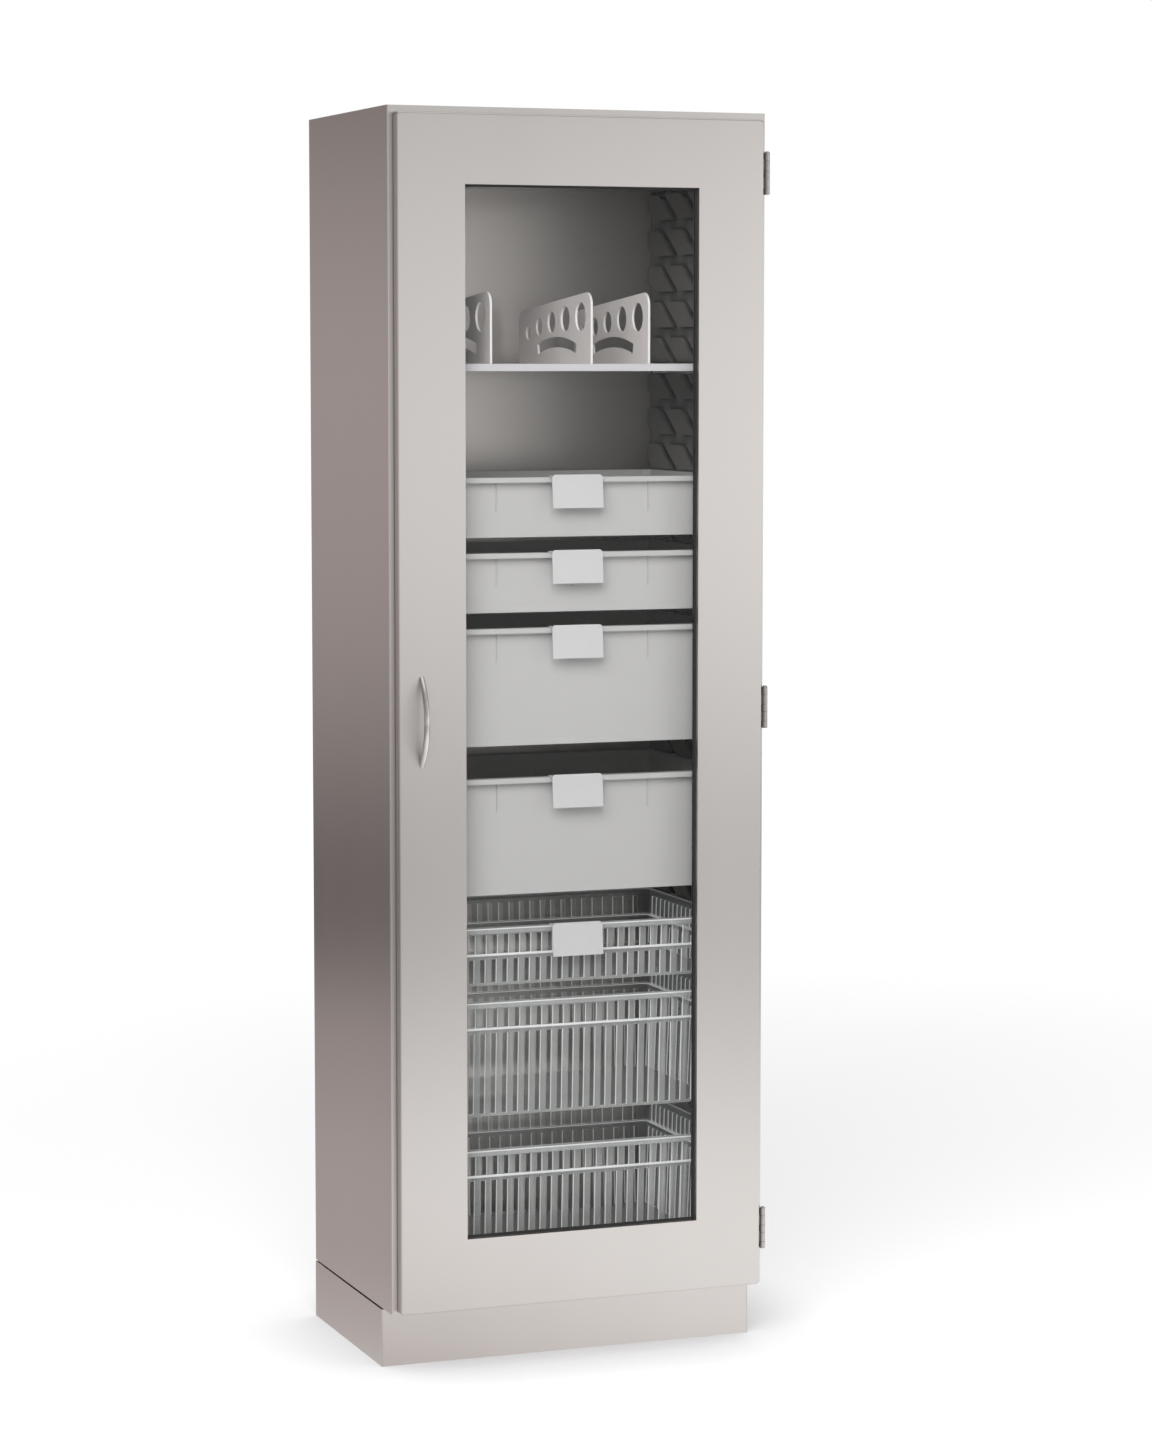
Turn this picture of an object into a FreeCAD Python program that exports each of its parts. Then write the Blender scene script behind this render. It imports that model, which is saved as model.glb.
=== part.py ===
"""Suture cabinet: a tall steel case with one glazed door, lift-in trays and baskets on moulded side racks.

Millimetres. X runs to the right, Y to the back and Z up. The origin is on the floor, in the
middle of the cabinet's footprint with its handle.
"""
import FreeCAD, Part
import Sketcher
import math
import os
import re

doc = FreeCAD.newDocument("suture_cabinet")

# ---------------------------------------------------------------- driving dimensions

SIZES = [
    # the steel case
    ("carcass_width", 676, "case, side to side"),
    ("carcass_depth", 443, "case, front flange to back"),
    ("carcass_height", 2125, "floor to the top of the case"),
    ("steel", 1.5, "gauge of the case's sheet"),
    ("back_gauge", 1.2, "gauge of the back sheet"),
    ("front_flange", 34, "width of a side panel's front flange"),
    ("rear_flange", 20, "width of a side panel's rear flange"),
    ("case_bend", 2.5, "outer radius of the case's folds"),
    # the plinth
    ("plinth_height", 99.5, "floor to the top of the plinth"),
    ("shadow_gap", 3.5, "open joint between plinth and case"),
    ("toe_recess", 56.4, "plinth front behind the case's front"),
    ("plinth_top_flange", 12, "width of a plinth panel's top flange"),
    ("plinth_foot_flange", 20, "width of a plinth panel's floor flange"),
    ("base_tube", 25, "width of the base frame's tube"),
    ("base_tube_drop", 40, "depth of the base frame's tube"),
    ("base_tube_wall", 2, "wall of the base frame's tube"),
    # the door
    ("door_inset", 10.5, "case side to the door's edge"),
    ("door_top_gap", 11.3, "case top to the door's top edge"),
    ("door_foot_gap", 1.5, "case bottom to the door's bottom edge"),
    ("door_gap", 2.5, "case front to the door's back"),
    ("door_thickness", 17.5, "door, front to back"),
    ("door_skin", 1.2, "gauge of the door's front pan"),
    ("pan_gauge", 1, "gauge of the door's back pan"),
    ("door_corner", 5.5, "radius of the door's corners"),
    ("door_nose", 3, "radius round the door's front edge"),
    ("stile", 118.4, "door edge to the window, both sides"),
    ("top_rail", 116.8, "door top to the window"),
    ("bottom_rail", 121.9, "door bottom to the window"),
    ("reveal", 10, "depth of the window's return"),
    ("glass_thickness", 4, "safety glass"),
    ("glass_bite", 8, "glass held behind the window's edge"),
    ("seal_leg", 1.2, "front leg of the glazing seal"),
    ("seal_rear_leg", 1, "rear leg of the glazing seal"),
    ("seal_web", 1.7, "web of the glazing seal"),
    ("seal_sight", 3.6, "seal showing inside the window"),
    ("fit_gap", 0.3, "clearance between pieces that are laid together"),
    ("overcut", 1, "how far a cut runs past the faces that it opens"),
    # the pull handle
    ("handle_chord", 142, "bow's ends, middle to middle at the door"),
    ("handle_reach", 31.5, "door face to the front of the bow"),
    ("handle_bar", 10, "bar diameter"),
    ("handle_bends", 12, "presses that bend the bar from end to end"),
    ("handle_edge", 40.5, "door edge to the middle of the handle"),
    ("handle_height", 1107, "floor to the middle of the handle"),
    ("screw_centres", 128, "handle screws"),
    ("screw_shank", 4, "handle screw diameter"),
    ("screw_head", 8, "handle screw head diameter"),
    ("screw_head_height", 2.6, "handle screw head"),
    ("screw_bite", 6.5, "screw in the handle"),
    ("screw_relief", 1, "bore past the screw's end"),
    # the hinges
    ("hinge_length", 70, "barrel"),
    ("hinge_end_knuckle", 12, "first and last knuckles"),
    ("hinge_door_knuckle", 16.75, "second and fourth knuckles"),
    ("hinge_barrel", 9.6, "barrel diameter"),
    ("hinge_pin", 5, "pin diameter"),
    ("pin_play", 0.05, "pin to bore, on the radius"),
    ("knuckle_gap", 0.15, "half the gap between knuckles"),
    ("hinge_leaf", 1.1, "leaf thickness"),
    ("hinge_leaf_width", 33, "leaf, barrel axis to its free edge"),
    ("hinge_side_reach", 1.6, "barrel axis outside the case's side"),
    ("hinge_axis_gap", 5, "barrel axis in front of the case"),
    ("hinge_tip", 3.4, "height of the rounded tip"),
    ("hinge_low", 95, "door's bottom edge to the lowest hinge's middle"),
    ("hinge_high", 91, "door's top edge to the highest hinge's middle"),
    # catches and buffers
    ("catch_length", 58, "magnetic catch"),
    ("catch_height", 13, "magnetic catch"),
    ("catch_depth", 26, "magnetic catch"),
    ("catch_edge", 48, "case side to the catch"),
    ("strike_gauge", 0.8, "catch strike plate"),
    ("buffer_size", 10, "door buffer diameter"),
    ("buffer_height", 2.2, "door buffer"),
    ("buffer_edge", 12.5, "door edge to the buffer"),
    # the moulded racks
    ("ceiling_drop", 115.2, "case top to the ceiling over the racks"),
    ("rack_slot", 19, "clear height between two block rows"),
    ("rows_per_rack", 10, "rows on one moulding"),
    ("racks_per_side", 3, "mouldings on one side"),
    ("upright_depth", 31.5, "mounting upright, case side to rack"),
    ("rack_sheet", 3, "thickness of a rack's base sheet"),
    ("rack_proud", 11, "blocks out of the base sheet"),
    ("rack_setback", 4, "case front to the racks"),
    ("rack_depth", 417.5, "front of the blocks to their back"),
    ("rack_tail", 13.5, "base sheet behind the blocks"),
    ("block_foot", 10.7, "rack's lower edge to its first block row"),
    ("groove_width", 31, "slanting groove, along the rack"),
    ("groove_pitch", 107, "one groove to the next"),
    ("groove_slant", 66, "groove's run over one block row"),
    ("groove_first", 48, "blocks' back to the first groove, at the top"),
    ("block_notch", 34, "cut-away at the rear block's foot, along"),
    ("block_notch_rise", 17, "cut-away at the rear block's foot, up"),
    ("upright_width", 30, "mounting upright, front to back"),
    ("upright_inset", 34, "rack front or back to its upright"),
    # trays and baskets
    ("tray_play", 2, "rim to a rack's base sheet, on each side"),
    ("tray_length", 400, "front rim to back rim"),
    ("tray_setback", 17, "case front to the trays' front rims"),
    ("side_ledge", 12, "rim outside a side wall"),
    ("end_ledge", 15, "rim outside a front or back wall"),
    ("rim_plate", 2.6, "rim thickness"),
    ("rim_lip", 8.6, "rim's turned-down lip"),
    ("rim_lip_wall", 2.4, "thickness of the lip"),
    ("runner_drop", 17.5, "side runner below the top of the rim"),
    ("runner_end", 26, "runner short of the rim's corners"),
    ("tray_wall", 2.6, "tray wall"),
    ("tray_floor", 3, "tray floor"),
    ("tray_corner", 18, "outer radius of a tray's corner"),
    ("rim_corner", 9, "radius of the rim's corner"),
    ("wall_lean", 1.6, "lean of the walls, degrees"),
    ("deep", 200, "deep tray or basket"),
    ("shallow", 101, "shallow tray or basket"),
    ("run_play", 0.3, "runner above its row of blocks"),
    ("rib_length", 58, "stiffening rib under the front rim"),
    ("rib_gauge", 1.2, "rib thickness"),
    ("rib_proud", 3, "rib out of the wall"),
    ("rib_spread", 274, "outer ribs, middle to middle"),
    ("slot_pitch", 20, "basket slots"),
    ("slot_width", 9.5, "basket slots"),
    ("slot_top", 13, "rim top to the slots"),
    ("slot_foot", 45, "plain wall under the slots"),
    ("slot_end", 22, "basket corner to the first slot"),
    # label holders
    ("label_width", 91, "label holder"),
    ("label_height", 56.5, "label holder"),
    ("label_rise", 4.5, "label holder above the rim"),
    ("label_gauge", 2, "label holder"),
    ("label_lean", 5, "foot of the holder further out than its top"),
    ("label_standoff", 6.5, "rim's front to the holder's back, at the top"),
    ("label_hook", 11, "hook behind the rim's front"),
    ("label_corner", 4, "cut top corners"),
    # the shelf and its dividers
    ("shelf_sheet", 2, "shelf plate"),
    ("shelf_nose", 12.5, "front and back flange of the shelf"),
    ("divider_gauge", 4, "divider plate"),
    ("divider_length", 356, "front to back"),
    ("divider_front", 122, "height at the front"),
    ("divider_back", 92, "height at the back"),
    ("divider_corner", 22, "radius of the top corners"),
    ("divider_left", -151, "middle of the shelf to the left divider"),
    ("divider_middle", 29, "middle of the shelf to the middle divider"),
    ("divider_right", 133, "middle of the shelf to the right divider"),
    ("divider_holes", 5, "holes in a divider"),
    ("divider_hole", 49.5, "largest hole, at the front"),
    ("divider_hole_step", 6.2, "each hole smaller than the last"),
    ("divider_hole_first", 49.5, "front edge to the first hole"),
    ("divider_web", 28, "plate left between two holes"),
    ("divider_hole_height", 79, "shelf to the first hole's middle"),
    ("divider_hole_fall", 1.24, "how the line of holes falls away to the rear"),
    ("grip_outer", 386, "upper radius of the curved hand slot"),
    ("grip_height", 18, "hand slot"),
    ("grip_crown", 46, "shelf to the top of the hand slot"),
    ("grip_half", 97.5, "half the length of the hand slot"),
    ("grip_middle", 166, "front edge to the middle of the hand slot"),
    ("tab_length", 18, "divider tab through the shelf"),
    ("tab_drop", 3.5, "divider tab below the top of the shelf"),
    ("tab_inset", 44, "divider end to the middle of its tab"),
]

# where each tray, basket and the shelf hangs: the rack row under it, counted from the bottom
SHELF_ROW = 24
TRAYS = [("tray_1", 21, "shallow"), ("tray_2", 19, "shallow"), ("tray_3", 17, "deep"), ("tray_4", 13, "deep")]
BASKETS = [("basket_1", 9, "shallow"), ("basket_2", 7, "deep"), ("basket_3", 3, "deep")]
LABELLED = {"tray_1": 1, "tray_2": 2, "tray_3": 3, "tray_4": 4, "basket_1": 5}
DIVIDERS = ("left", "middle", "right")

sizes = doc.addObject("Spreadsheet::Sheet", "sizes")
for row, (alias, number, note) in enumerate(SIZES, start=1):
    sizes.set(f"A{row}", alias)
    sizes.set(f"B{row}", str(number))
    sizes.set(f"C{row}", note)
    sizes.setAlias(f"B{row}", alias)
doc.recompute()

# places worked out from the driving dimensions
PLACES = {
    "handle_front": "door_gap + door_thickness + handle_reach",
    "back": "(carcass_depth + handle_front) / 2",
    "front": "back - carcass_depth",
    "side": "carcass_width / 2",
    "bottom": "plinth_height + shadow_gap",
    "top": "carcass_height",
    "floor_top": "bottom + steel",
    "door_back": "front - door_gap",
    "door_front": "door_back - door_thickness",
    "door_side": "side - door_inset",
    "door_foot": "bottom + door_foot_gap",
    "door_top": "top - door_top_gap",
    "window_side": "door_side - stile",
    "window_foot": "door_foot + bottom_rail",
    "window_top": "door_top - top_rail",
    "seal_front": "door_front + reveal + fit_gap",
    "glass_front": "seal_front + seal_leg",
    "glass_back": "glass_front + glass_thickness",
    "glass_side": "window_side + glass_bite",
    "ceiling": "top - ceiling_drop",
    "rack_foot": "floor_top",
    "rack_top": "ceiling - fit_gap",
    "rack_height": "(rack_top - rack_foot) / racks_per_side",
    "row_pitch": "rack_height / rows_per_rack",
    "block_height": "row_pitch - rack_slot",
    "rack_half_gap": "side - steel - upright_depth - rack_sheet",
    "rack_front": "front + rack_setback",
    "rack_back": "rack_front + rack_depth",
    "tray_front": "front + tray_setback",
    "tray_back": "tray_front + tray_length",
    "tray_half": "rack_half_gap - tray_play",
    "tray_width": "2 * tray_half",
    "first_ledge": "rack_foot + block_foot + block_height",
    "handle_x": "-(door_side - handle_edge)",
    "hinge_x": "side + hinge_side_reach",
    "hinge_y": "front - hinge_axis_gap",
    "lower_hinge": "door_foot + hinge_low",
    "upper_hinge": "door_top - hinge_high",
    "middle_hinge": "(lower_hinge + upper_hinge) / 2",
    "bow_rise": "handle_reach - handle_bar / 2",
    "bow_radius": "((handle_chord / 2) ^ 2 + bow_rise ^ 2) / (2 * bow_rise)",
    "bow_step": "2 * asin(handle_chord / (2 * bow_radius)) / handle_bends",
    "inner_back": "back - steel - back_gauge",
    "plinth_front": "front + toe_recess",
}
ALIASES = {alias for alias, _, _ in SIZES}


def formula(text):
    """Writes a formula in the sheet's aliases and the places above as a FreeCAD expression."""
    def swap(word):
        name = word.group(0)
        if name in PLACES:
            return "(" + formula(PLACES[name]) + ")"
        return "sizes." + name if name in ALIASES else name
    return re.sub(r"[a-z_]+", swap, str(text))


def number(text):
    """The present value of such a formula."""
    value = sizes.evalExpression(formula(text))
    return float(getattr(value, "Value", value))


def bind(target, **formulas):
    """Ties properties to formulas; a double underscore in a name stands for a dot."""
    for path, text in formulas.items():
        target.setExpression(path.replace("__", "."), formula(text))


# ---------------------------------------------------------------- sketches and features

# each origin plane's role, and the sign that turns a level into an offset along its normal
PLANES = {"XY": ("XY_Plane", ""), "XZ": ("XZ_Plane", "-"), "YZ": ("YZ_Plane", "")}
# faces and edges are picked with this much slack
SLACK = 0.01


def new_body(label):
    body = doc.addObject("PartDesign::Body", label)
    body.Label = label
    return body


def new_sketch(body, plane, level):
    """A sketch on one of the body's own planes, moved along the missing axis to a level."""
    role, flip = PLANES[plane]
    sketch = body.newObject("Sketcher::SketchObject", "outline")
    origin_plane = next(item for item in body.Origin.OriginFeatures if item.Role == role)
    sketch.AttachmentSupport = [(origin_plane, "")]
    sketch.MapMode = "FlatFace"
    bind(sketch, AttachmentOffset__Base__z=f"{flip}({level})")
    return sketch


def draw_chain(sketch, corners):
    """Adds straight lines from corner to corner; each corner is a pair of formulas, both constraints."""
    spots = [FreeCAD.Vector(number(across), number(up), 0) for across, up in corners]
    first = sketch.GeometryCount
    for i, (start, stop) in enumerate(zip(spots, spots[1:])):
        sketch.addGeometry(Part.LineSegment(start, stop), False)
        if i:
            sketch.addConstraint(Sketcher.Constraint("Coincident", first + i - 1, 2, first + i, 1))
        pin_point(sketch, first + i, 1, *corners[i])


def draw_loop(sketch, corners):
    """Adds one closed outline of straight lines."""
    first = sketch.GeometryCount
    draw_chain(sketch, corners + corners[:1])
    sketch.addConstraint(Sketcher.Constraint("Coincident", sketch.GeometryCount - 1, 2, first, 1))


def pin_point(sketch, geometry, end, across, up):
    """Holds a point of the sketch at two formulas, measured from the origin."""
    for kind, text in (("DistanceX", across), ("DistanceY", up)):
        place = sketch.addConstraint(Sketcher.Constraint(kind, -1, 1, geometry, end, number(text)))
        sketch.setExpression(f"Constraints[{place}]", formula(text))


def draw_box(sketch, left, right, low, high):
    draw_loop(sketch, [(left, low), (right, low), (right, high), (left, high)])


def draw_round_box(sketch, left, right, low, high, radius):
    """A rectangle with four rounded corners, held by the corners' centres and their radius."""
    size = number(radius)
    middles = [
        (f"{left} + {radius}", f"{low} + {radius}"),
        (f"{right} - ({radius})", f"{low} + {radius}"),
        (f"{right} - ({radius})", f"{high} - ({radius})"),
        (f"{left} + {radius}", f"{high} - ({radius})"),
    ]
    arcs = []
    for turn, (across, up) in enumerate(middles):
        circle = Part.Circle(FreeCAD.Vector(number(across), number(up), 0), FreeCAD.Vector(0, 0, 1), size)
        start = math.pi + turn * math.pi / 2
        arcs.append(sketch.addGeometry(Part.ArcOfCircle(circle, start, start + math.pi / 2), False))
        pin_point(sketch, arcs[-1], 3, across, up)
    for turn, arc in enumerate(arcs):
        following = arcs[(turn + 1) % 4]
        side = Part.LineSegment(sketch.Geometry[arc].EndPoint, sketch.Geometry[following].StartPoint)
        line = sketch.addGeometry(side, False)
        sketch.addConstraint(Sketcher.Constraint("Tangent", arc, 2, line, 1))
        sketch.addConstraint(Sketcher.Constraint("Tangent", line, 2, following, 1))
    place = sketch.addConstraint(Sketcher.Constraint("Radius", arcs[0], size))
    sketch.setExpression(f"Constraints[{place}]", formula(radius))
    for arc in arcs[1:]:
        sketch.addConstraint(Sketcher.Constraint("Equal", arcs[0], arc))


def draw_circle(sketch, across, up, diameter):
    centre = FreeCAD.Vector(number(across), number(up), 0)
    ring = sketch.addGeometry(Part.Circle(centre, FreeCAD.Vector(0, 0, 1), number(diameter) / 2), False)
    pin_point(sketch, ring, 3, across, up)
    place = sketch.addConstraint(Sketcher.Constraint("Diameter", ring, number(diameter)))
    sketch.setExpression(f"Constraints[{place}]", formula(diameter))


def extrude(body, kind, sketch, length, reverse=False, middle=False):
    """A Pad or a Pocket of a sketch."""
    feature = body.newObject("PartDesign::" + kind, kind.lower())
    feature.Profile = sketch
    feature.Reversed = reverse
    feature.Midplane = middle
    bind(feature, Length=length)
    sketch.Visibility = False
    doc.recompute()
    return feature


def pad(body, sketch, length, **options):
    return extrude(body, "Pad", sketch, length, **options)


def pocket(body, sketch, length, **options):
    before = body.Shape.Volume
    feature = extrude(body, "Pocket", sketch, length, **options)
    if not body.Shape.Volume < before:
        raise RuntimeError(f"a pocket in {body.Label} cuts nothing")
    return feature


def repeat(body, features, axis, spacing, count):
    """A linear pattern of features along the body's own axis."""
    pattern = body.newObject("PartDesign::LinearPattern", "pattern")
    pattern.Originals = features
    origin_axis = next(item for item in body.Origin.OriginFeatures if item.Role == axis)
    pattern.Direction = (origin_axis, [""])
    bind(pattern, Length=f"({spacing}) * ({count} - 1)", Occurrences=count)
    body.Tip = pattern
    doc.recompute()
    return pattern


def round_edges(body, radius, wanted):
    """Fillets the edges of the body's tip that a test picks."""
    base = body.Tip
    names = [f"Edge{i}" for i, edge in enumerate(base.Shape.Edges, start=1) if wanted(edge)]
    if not names:
        raise RuntimeError(f"no edge to round in {body.Label}")
    fillet = body.newObject("PartDesign::Fillet", "fillet")
    fillet.Base = (base, names)
    bind(fillet, Radius=radius)
    doc.recompute()
    return fillet


def runs_along(edge, axis):
    """True for a straight edge that is parallel to an axis, within the lean of a moulding."""
    if len(edge.Vertexes) != 2:
        return False
    span = edge.Vertexes[1].Point - edge.Vertexes[0].Point
    return abs(getattr(span, axis)) > 0.99 * edge.Length


def plain_block(label, x_low, x_high, y_low, y_high, z_low, z_high):
    """A rectangular piece between six formulas."""
    block = doc.addObject("Part::Box", label)
    block.Label = label
    bind(
        block,
        Length=f"({x_high}) - ({x_low})",
        Width=f"({y_high}) - ({y_low})",
        Height=f"({z_high}) - ({z_low})",
        Placement__Base__x=x_low,
        Placement__Base__y=y_low,
        Placement__Base__z=z_low,
    )
    return block


def mirrored(corners, sign):
    """The same outline on the left (sign is minus one) or on the right."""
    return [(f"{sign} * ({across})", up) for across, up in corners]


sub_parts = []


def keep(*pieces):
    sub_parts.extend(pieces)


# ---------------------------------------------------------------- the steel case

def make_side_panel(label, sign):
    """A sheet with a folded front flange and a folded rear flange."""
    body = new_body(label)
    profile = new_sketch(body, "XY", "bottom")
    draw_loop(profile, mirrored([
        ("side", "front"),
        ("side", "back"),
        ("side - rear_flange", "back"),
        ("side - rear_flange", "back - steel"),
        ("side - steel", "back - steel"),
        ("side - steel", "front + steel"),
        ("side - front_flange", "front + steel"),
        ("side - front_flange", "front"),
    ], sign))
    pad(body, profile, "top - bottom")
    outer = number("side") - SLACK
    round_edges(body, "case_bend", lambda edge: runs_along(edge, "z") and abs(edge.CenterOfMass.x) > outer)
    return body


def make_top_panel():
    """The top sheet and the header that closes the front above the ceiling."""
    body = new_body("top_panel")
    sheet = new_sketch(body, "XY", "top - steel")
    draw_box(sheet, "-(side - steel)", "side - steel", "front + steel", "back - steel")
    pad(body, sheet, "steel")
    header = new_sketch(body, "XZ", "front")
    draw_box(header, "-(side - front_flange)", "side - front_flange", "ceiling", "top")
    pad(body, header, "steel", reverse=True)
    return body


def make_floor_pan():
    """The bottom sheet, with a strip that reaches forward between the side flanges."""
    body = new_body("floor_pan")
    sheet = new_sketch(body, "XY", "bottom")
    draw_box(sheet, "-(side - steel)", "side - steel", "front + steel", "inner_back")
    pad(body, sheet, "steel")
    strip = new_sketch(body, "XY", "bottom")
    draw_box(strip, "-(side - front_flange)", "side - front_flange", "front", "front + steel")
    pad(body, strip, "steel")
    return body


def make_upright(label, sign, y_low):
    """A vertical channel that carries the racks clear of the side panel."""
    body = new_body(label)
    profile = new_sketch(body, "XY", "floor_top")
    y_high = f"{y_low} + upright_width"
    near = "side - steel - upright_depth"
    far = "side - steel"
    draw_loop(profile, mirrored([
        (near, y_low),
        (far, y_low),
        (far, f"{y_low} + steel"),
        (f"{near} + steel", f"{y_low} + steel"),
        (f"{near} + steel", f"{y_high} - steel"),
        (far, f"{y_high} - steel"),
        (far, y_high),
        (near, y_high),
    ], sign))
    pad(body, profile, "rack_top - floor_top")
    return body


for hand, sign in (("left", -1), ("right", 1)):
    keep(make_side_panel(f"{hand}_side_panel", sign))
    keep(make_upright(f"{hand}_front_upright", sign, "rack_front + upright_inset"))
    keep(make_upright(f"{hand}_rear_upright", sign, "rack_back - upright_inset - upright_width"))

keep(
    make_top_panel(),
    make_floor_pan(),
    plain_block("back_panel", "-(side - steel)", "side - steel", "inner_back", "back - steel",
                "bottom", "top - steel"),
    plain_block("ceiling_panel", "-(side - steel)", "side - steel", "front + steel", "inner_back",
                "ceiling", "ceiling + steel"),
)


# ---------------------------------------------------------------- plinth and base frame

def make_plinth_side(label, sign):
    """An upright sheet with a flange under the case and one on the floor."""
    body = new_body(label)
    sheet = new_sketch(body, "YZ", f"{sign} * side")
    draw_box(sheet, "plinth_front", "back", "0", "plinth_height")
    pad(body, sheet, "steel", reverse=sign > 0)
    flanges = new_sketch(body, "XZ", "plinth_front + plinth_foot_flange")
    for low, high, width in (
        ("0", "steel", "plinth_foot_flange"),
        ("plinth_height - steel", "plinth_height", "plinth_top_flange"),
    ):
        draw_loop(flanges, mirrored([
            (f"side - {width}", low), ("side - steel", low), ("side - steel", high),
            (f"side - {width}", high),
        ], sign))
    pad(body, flanges, "back - plinth_front - 2 * plinth_foot_flange", reverse=True)
    return body


def make_plinth_end(label, y_outer, inward):
    """The front or back sheet of the plinth, between the two side sheets."""
    body = new_body(label)
    profile = new_sketch(body, "YZ", "-(side - steel)")
    draw_loop(profile, [
        (y_outer, "0"),
        (f"{y_outer} + {inward} * (plinth_foot_flange - fit_gap)", "0"),
        (f"{y_outer} + {inward} * (plinth_foot_flange - fit_gap)", "steel"),
        (f"{y_outer} + {inward} * steel", "steel"),
        (f"{y_outer} + {inward} * steel", "plinth_height - steel"),
        (f"{y_outer} + {inward} * plinth_top_flange", "plinth_height - steel"),
        (f"{y_outer} + {inward} * plinth_top_flange", "plinth_height"),
        (y_outer, "plinth_height"),
    ])
    pad(body, profile, "2 * (side - steel)")
    return body


def make_base_frame():
    """A welded ring of square tube that lifts the case off the plinth and leaves the shadow gap."""
    body = new_body("base_frame")

    def draw_ring(sketch, outer, inner):
        for inset in (outer, inner):
            across = f"side - plinth_top_flange - ({inset})"
            draw_box(sketch, f"-({across})", across,
                     f"plinth_front + plinth_top_flange + {inset}", f"back - plinth_top_flange - ({inset})")

    ring = new_sketch(body, "XY", "bottom - base_tube_drop")
    draw_ring(ring, "0", "base_tube")
    pad(body, ring, "base_tube_drop")
    hollow = new_sketch(body, "XY", "bottom - base_tube_wall")
    draw_ring(hollow, "base_tube_wall", "base_tube - base_tube_wall")
    pocket(body, hollow, "base_tube_drop")
    return body


keep(
    make_plinth_side("plinth_left", -1),
    make_plinth_side("plinth_right", 1),
    make_plinth_end("plinth_front", "plinth_front", 1),
    make_plinth_end("plinth_back", "back", -1),
    make_base_frame(),
)


# ---------------------------------------------------------------- moulded racks

def make_rack(label, sign, storey):
    """A base sheet with rows of blocks; slanting grooves part the blocks of a row."""
    body = new_body(label)
    foot = f"rack_foot + rack_height * {storey}"
    sheet = new_sketch(body, "YZ", f"{sign} * rack_half_gap")
    draw_box(sheet, "rack_front", "rack_back + rack_tail", foot, f"{foot} + rack_height")
    pad(body, sheet, "rack_sheet", reverse=sign < 0)

    low = f"{foot} + block_foot"
    high = f"{low} + block_height"
    row = new_sketch(body, "YZ", f"{sign} * rack_half_gap")
    rear_groove = "rack_back - groove_first"
    draw_loop(row, [
        ("rack_back", high),
        (rear_groove, high),
        (f"{rear_groove} - groove_slant", low),
        ("rack_back - block_notch", low),
        ("rack_back", f"{low} + block_notch_rise"),
    ])
    middle_blocks = int((number("rack_depth") - number("groove_first")) // number("groove_pitch"))
    for step in range(middle_blocks):
        near = f"{rear_groove} - groove_width - groove_pitch * {step}"
        far = f"{rear_groove} - groove_pitch * {step + 1}"
        draw_loop(row, [
            (near, high), (far, high), (f"{far} - groove_slant", low), (f"{near} - groove_slant", low),
        ] if number(f"{far} - groove_slant") > number("rack_front") else [
            (near, high),
            ("rack_front + groove_width", high),
            ("rack_front", f"{high} - block_notch_rise"),
            ("rack_front", low),
            (f"{near} - groove_slant", low),
        ])
    blocks = pad(body, row, "rack_proud", reverse=sign > 0)
    repeat(body, [blocks], "Z_Axis", "row_pitch", "rows_per_rack")
    return body


STOREYS = ("lower", "middle", "upper")
for hand, sign in (("left", -1), ("right", 1)):
    for storey in range(int(number("racks_per_side"))):
        keep(make_rack(f"{hand}_{STOREYS[storey]}_rack", sign, storey))


# ---------------------------------------------------------------- trays and baskets
# Each is drawn with the top of its rim at zero height, and its Placement hangs it on its row.

TRAY_MIDDLE = "tray_front + tray_length / 2"
WALL_HALF = "(tray_half - side_ledge)"
WALL_FRONT = "(tray_front + end_ledge)"
WALL_BACK = "(tray_back - end_ledge)"


def hang(body, row):
    """Puts the rim a little above the tops of the blocks of a rack row."""
    bind(body, Placement__Base__z=f"first_ledge + row_pitch * {row} + run_play + runner_drop")


def draw_rim_line(sketch, shrink):
    """The rim's outline, shrunk on every side."""
    draw_round_box(sketch, f"-(tray_half - ({shrink}))", f"tray_half - ({shrink})",
                   f"tray_front + {shrink}", f"tray_back - ({shrink})", f"(rim_corner - ({shrink}))")


def draw_wall_line(sketch, shrink):
    """The walls' outline under the rim, shrunk on every side."""
    draw_round_box(sketch, f"-({WALL_HALF} - ({shrink}))", f"{WALL_HALF} - ({shrink})",
                   f"{WALL_FRONT} + {shrink}", f"{WALL_BACK} - ({shrink})", f"(tray_corner - ({shrink}))")


def lean_walls(body, outward):
    """Leans the tip's side walls about the top of the rim, either the outer or the inner ones."""
    base = body.Tip
    middle = FreeCAD.Vector(0, number(TRAY_MIDDLE), 0)
    names = []
    for i, face in enumerate(base.Shape.Faces, start=1):
        spot = face.CenterOfMass
        normal = face.normalAt(*face.Surface.parameter(spot))
        away = normal.dot(spot - middle) > 0
        if abs(normal.z) < 0.5 and away == outward:
            names.append(f"Face{i}")
    lean = body.newObject("PartDesign::Draft", "lean")
    lean.Base = (base, names)
    level = next(item for item in body.Origin.OriginFeatures if item.Role == "XY_Plane")
    lean.NeutralPlane = (level, [""])
    lean.Reversed = outward
    bind(lean, Angle="wall_lean")
    doc.recompute()


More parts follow.
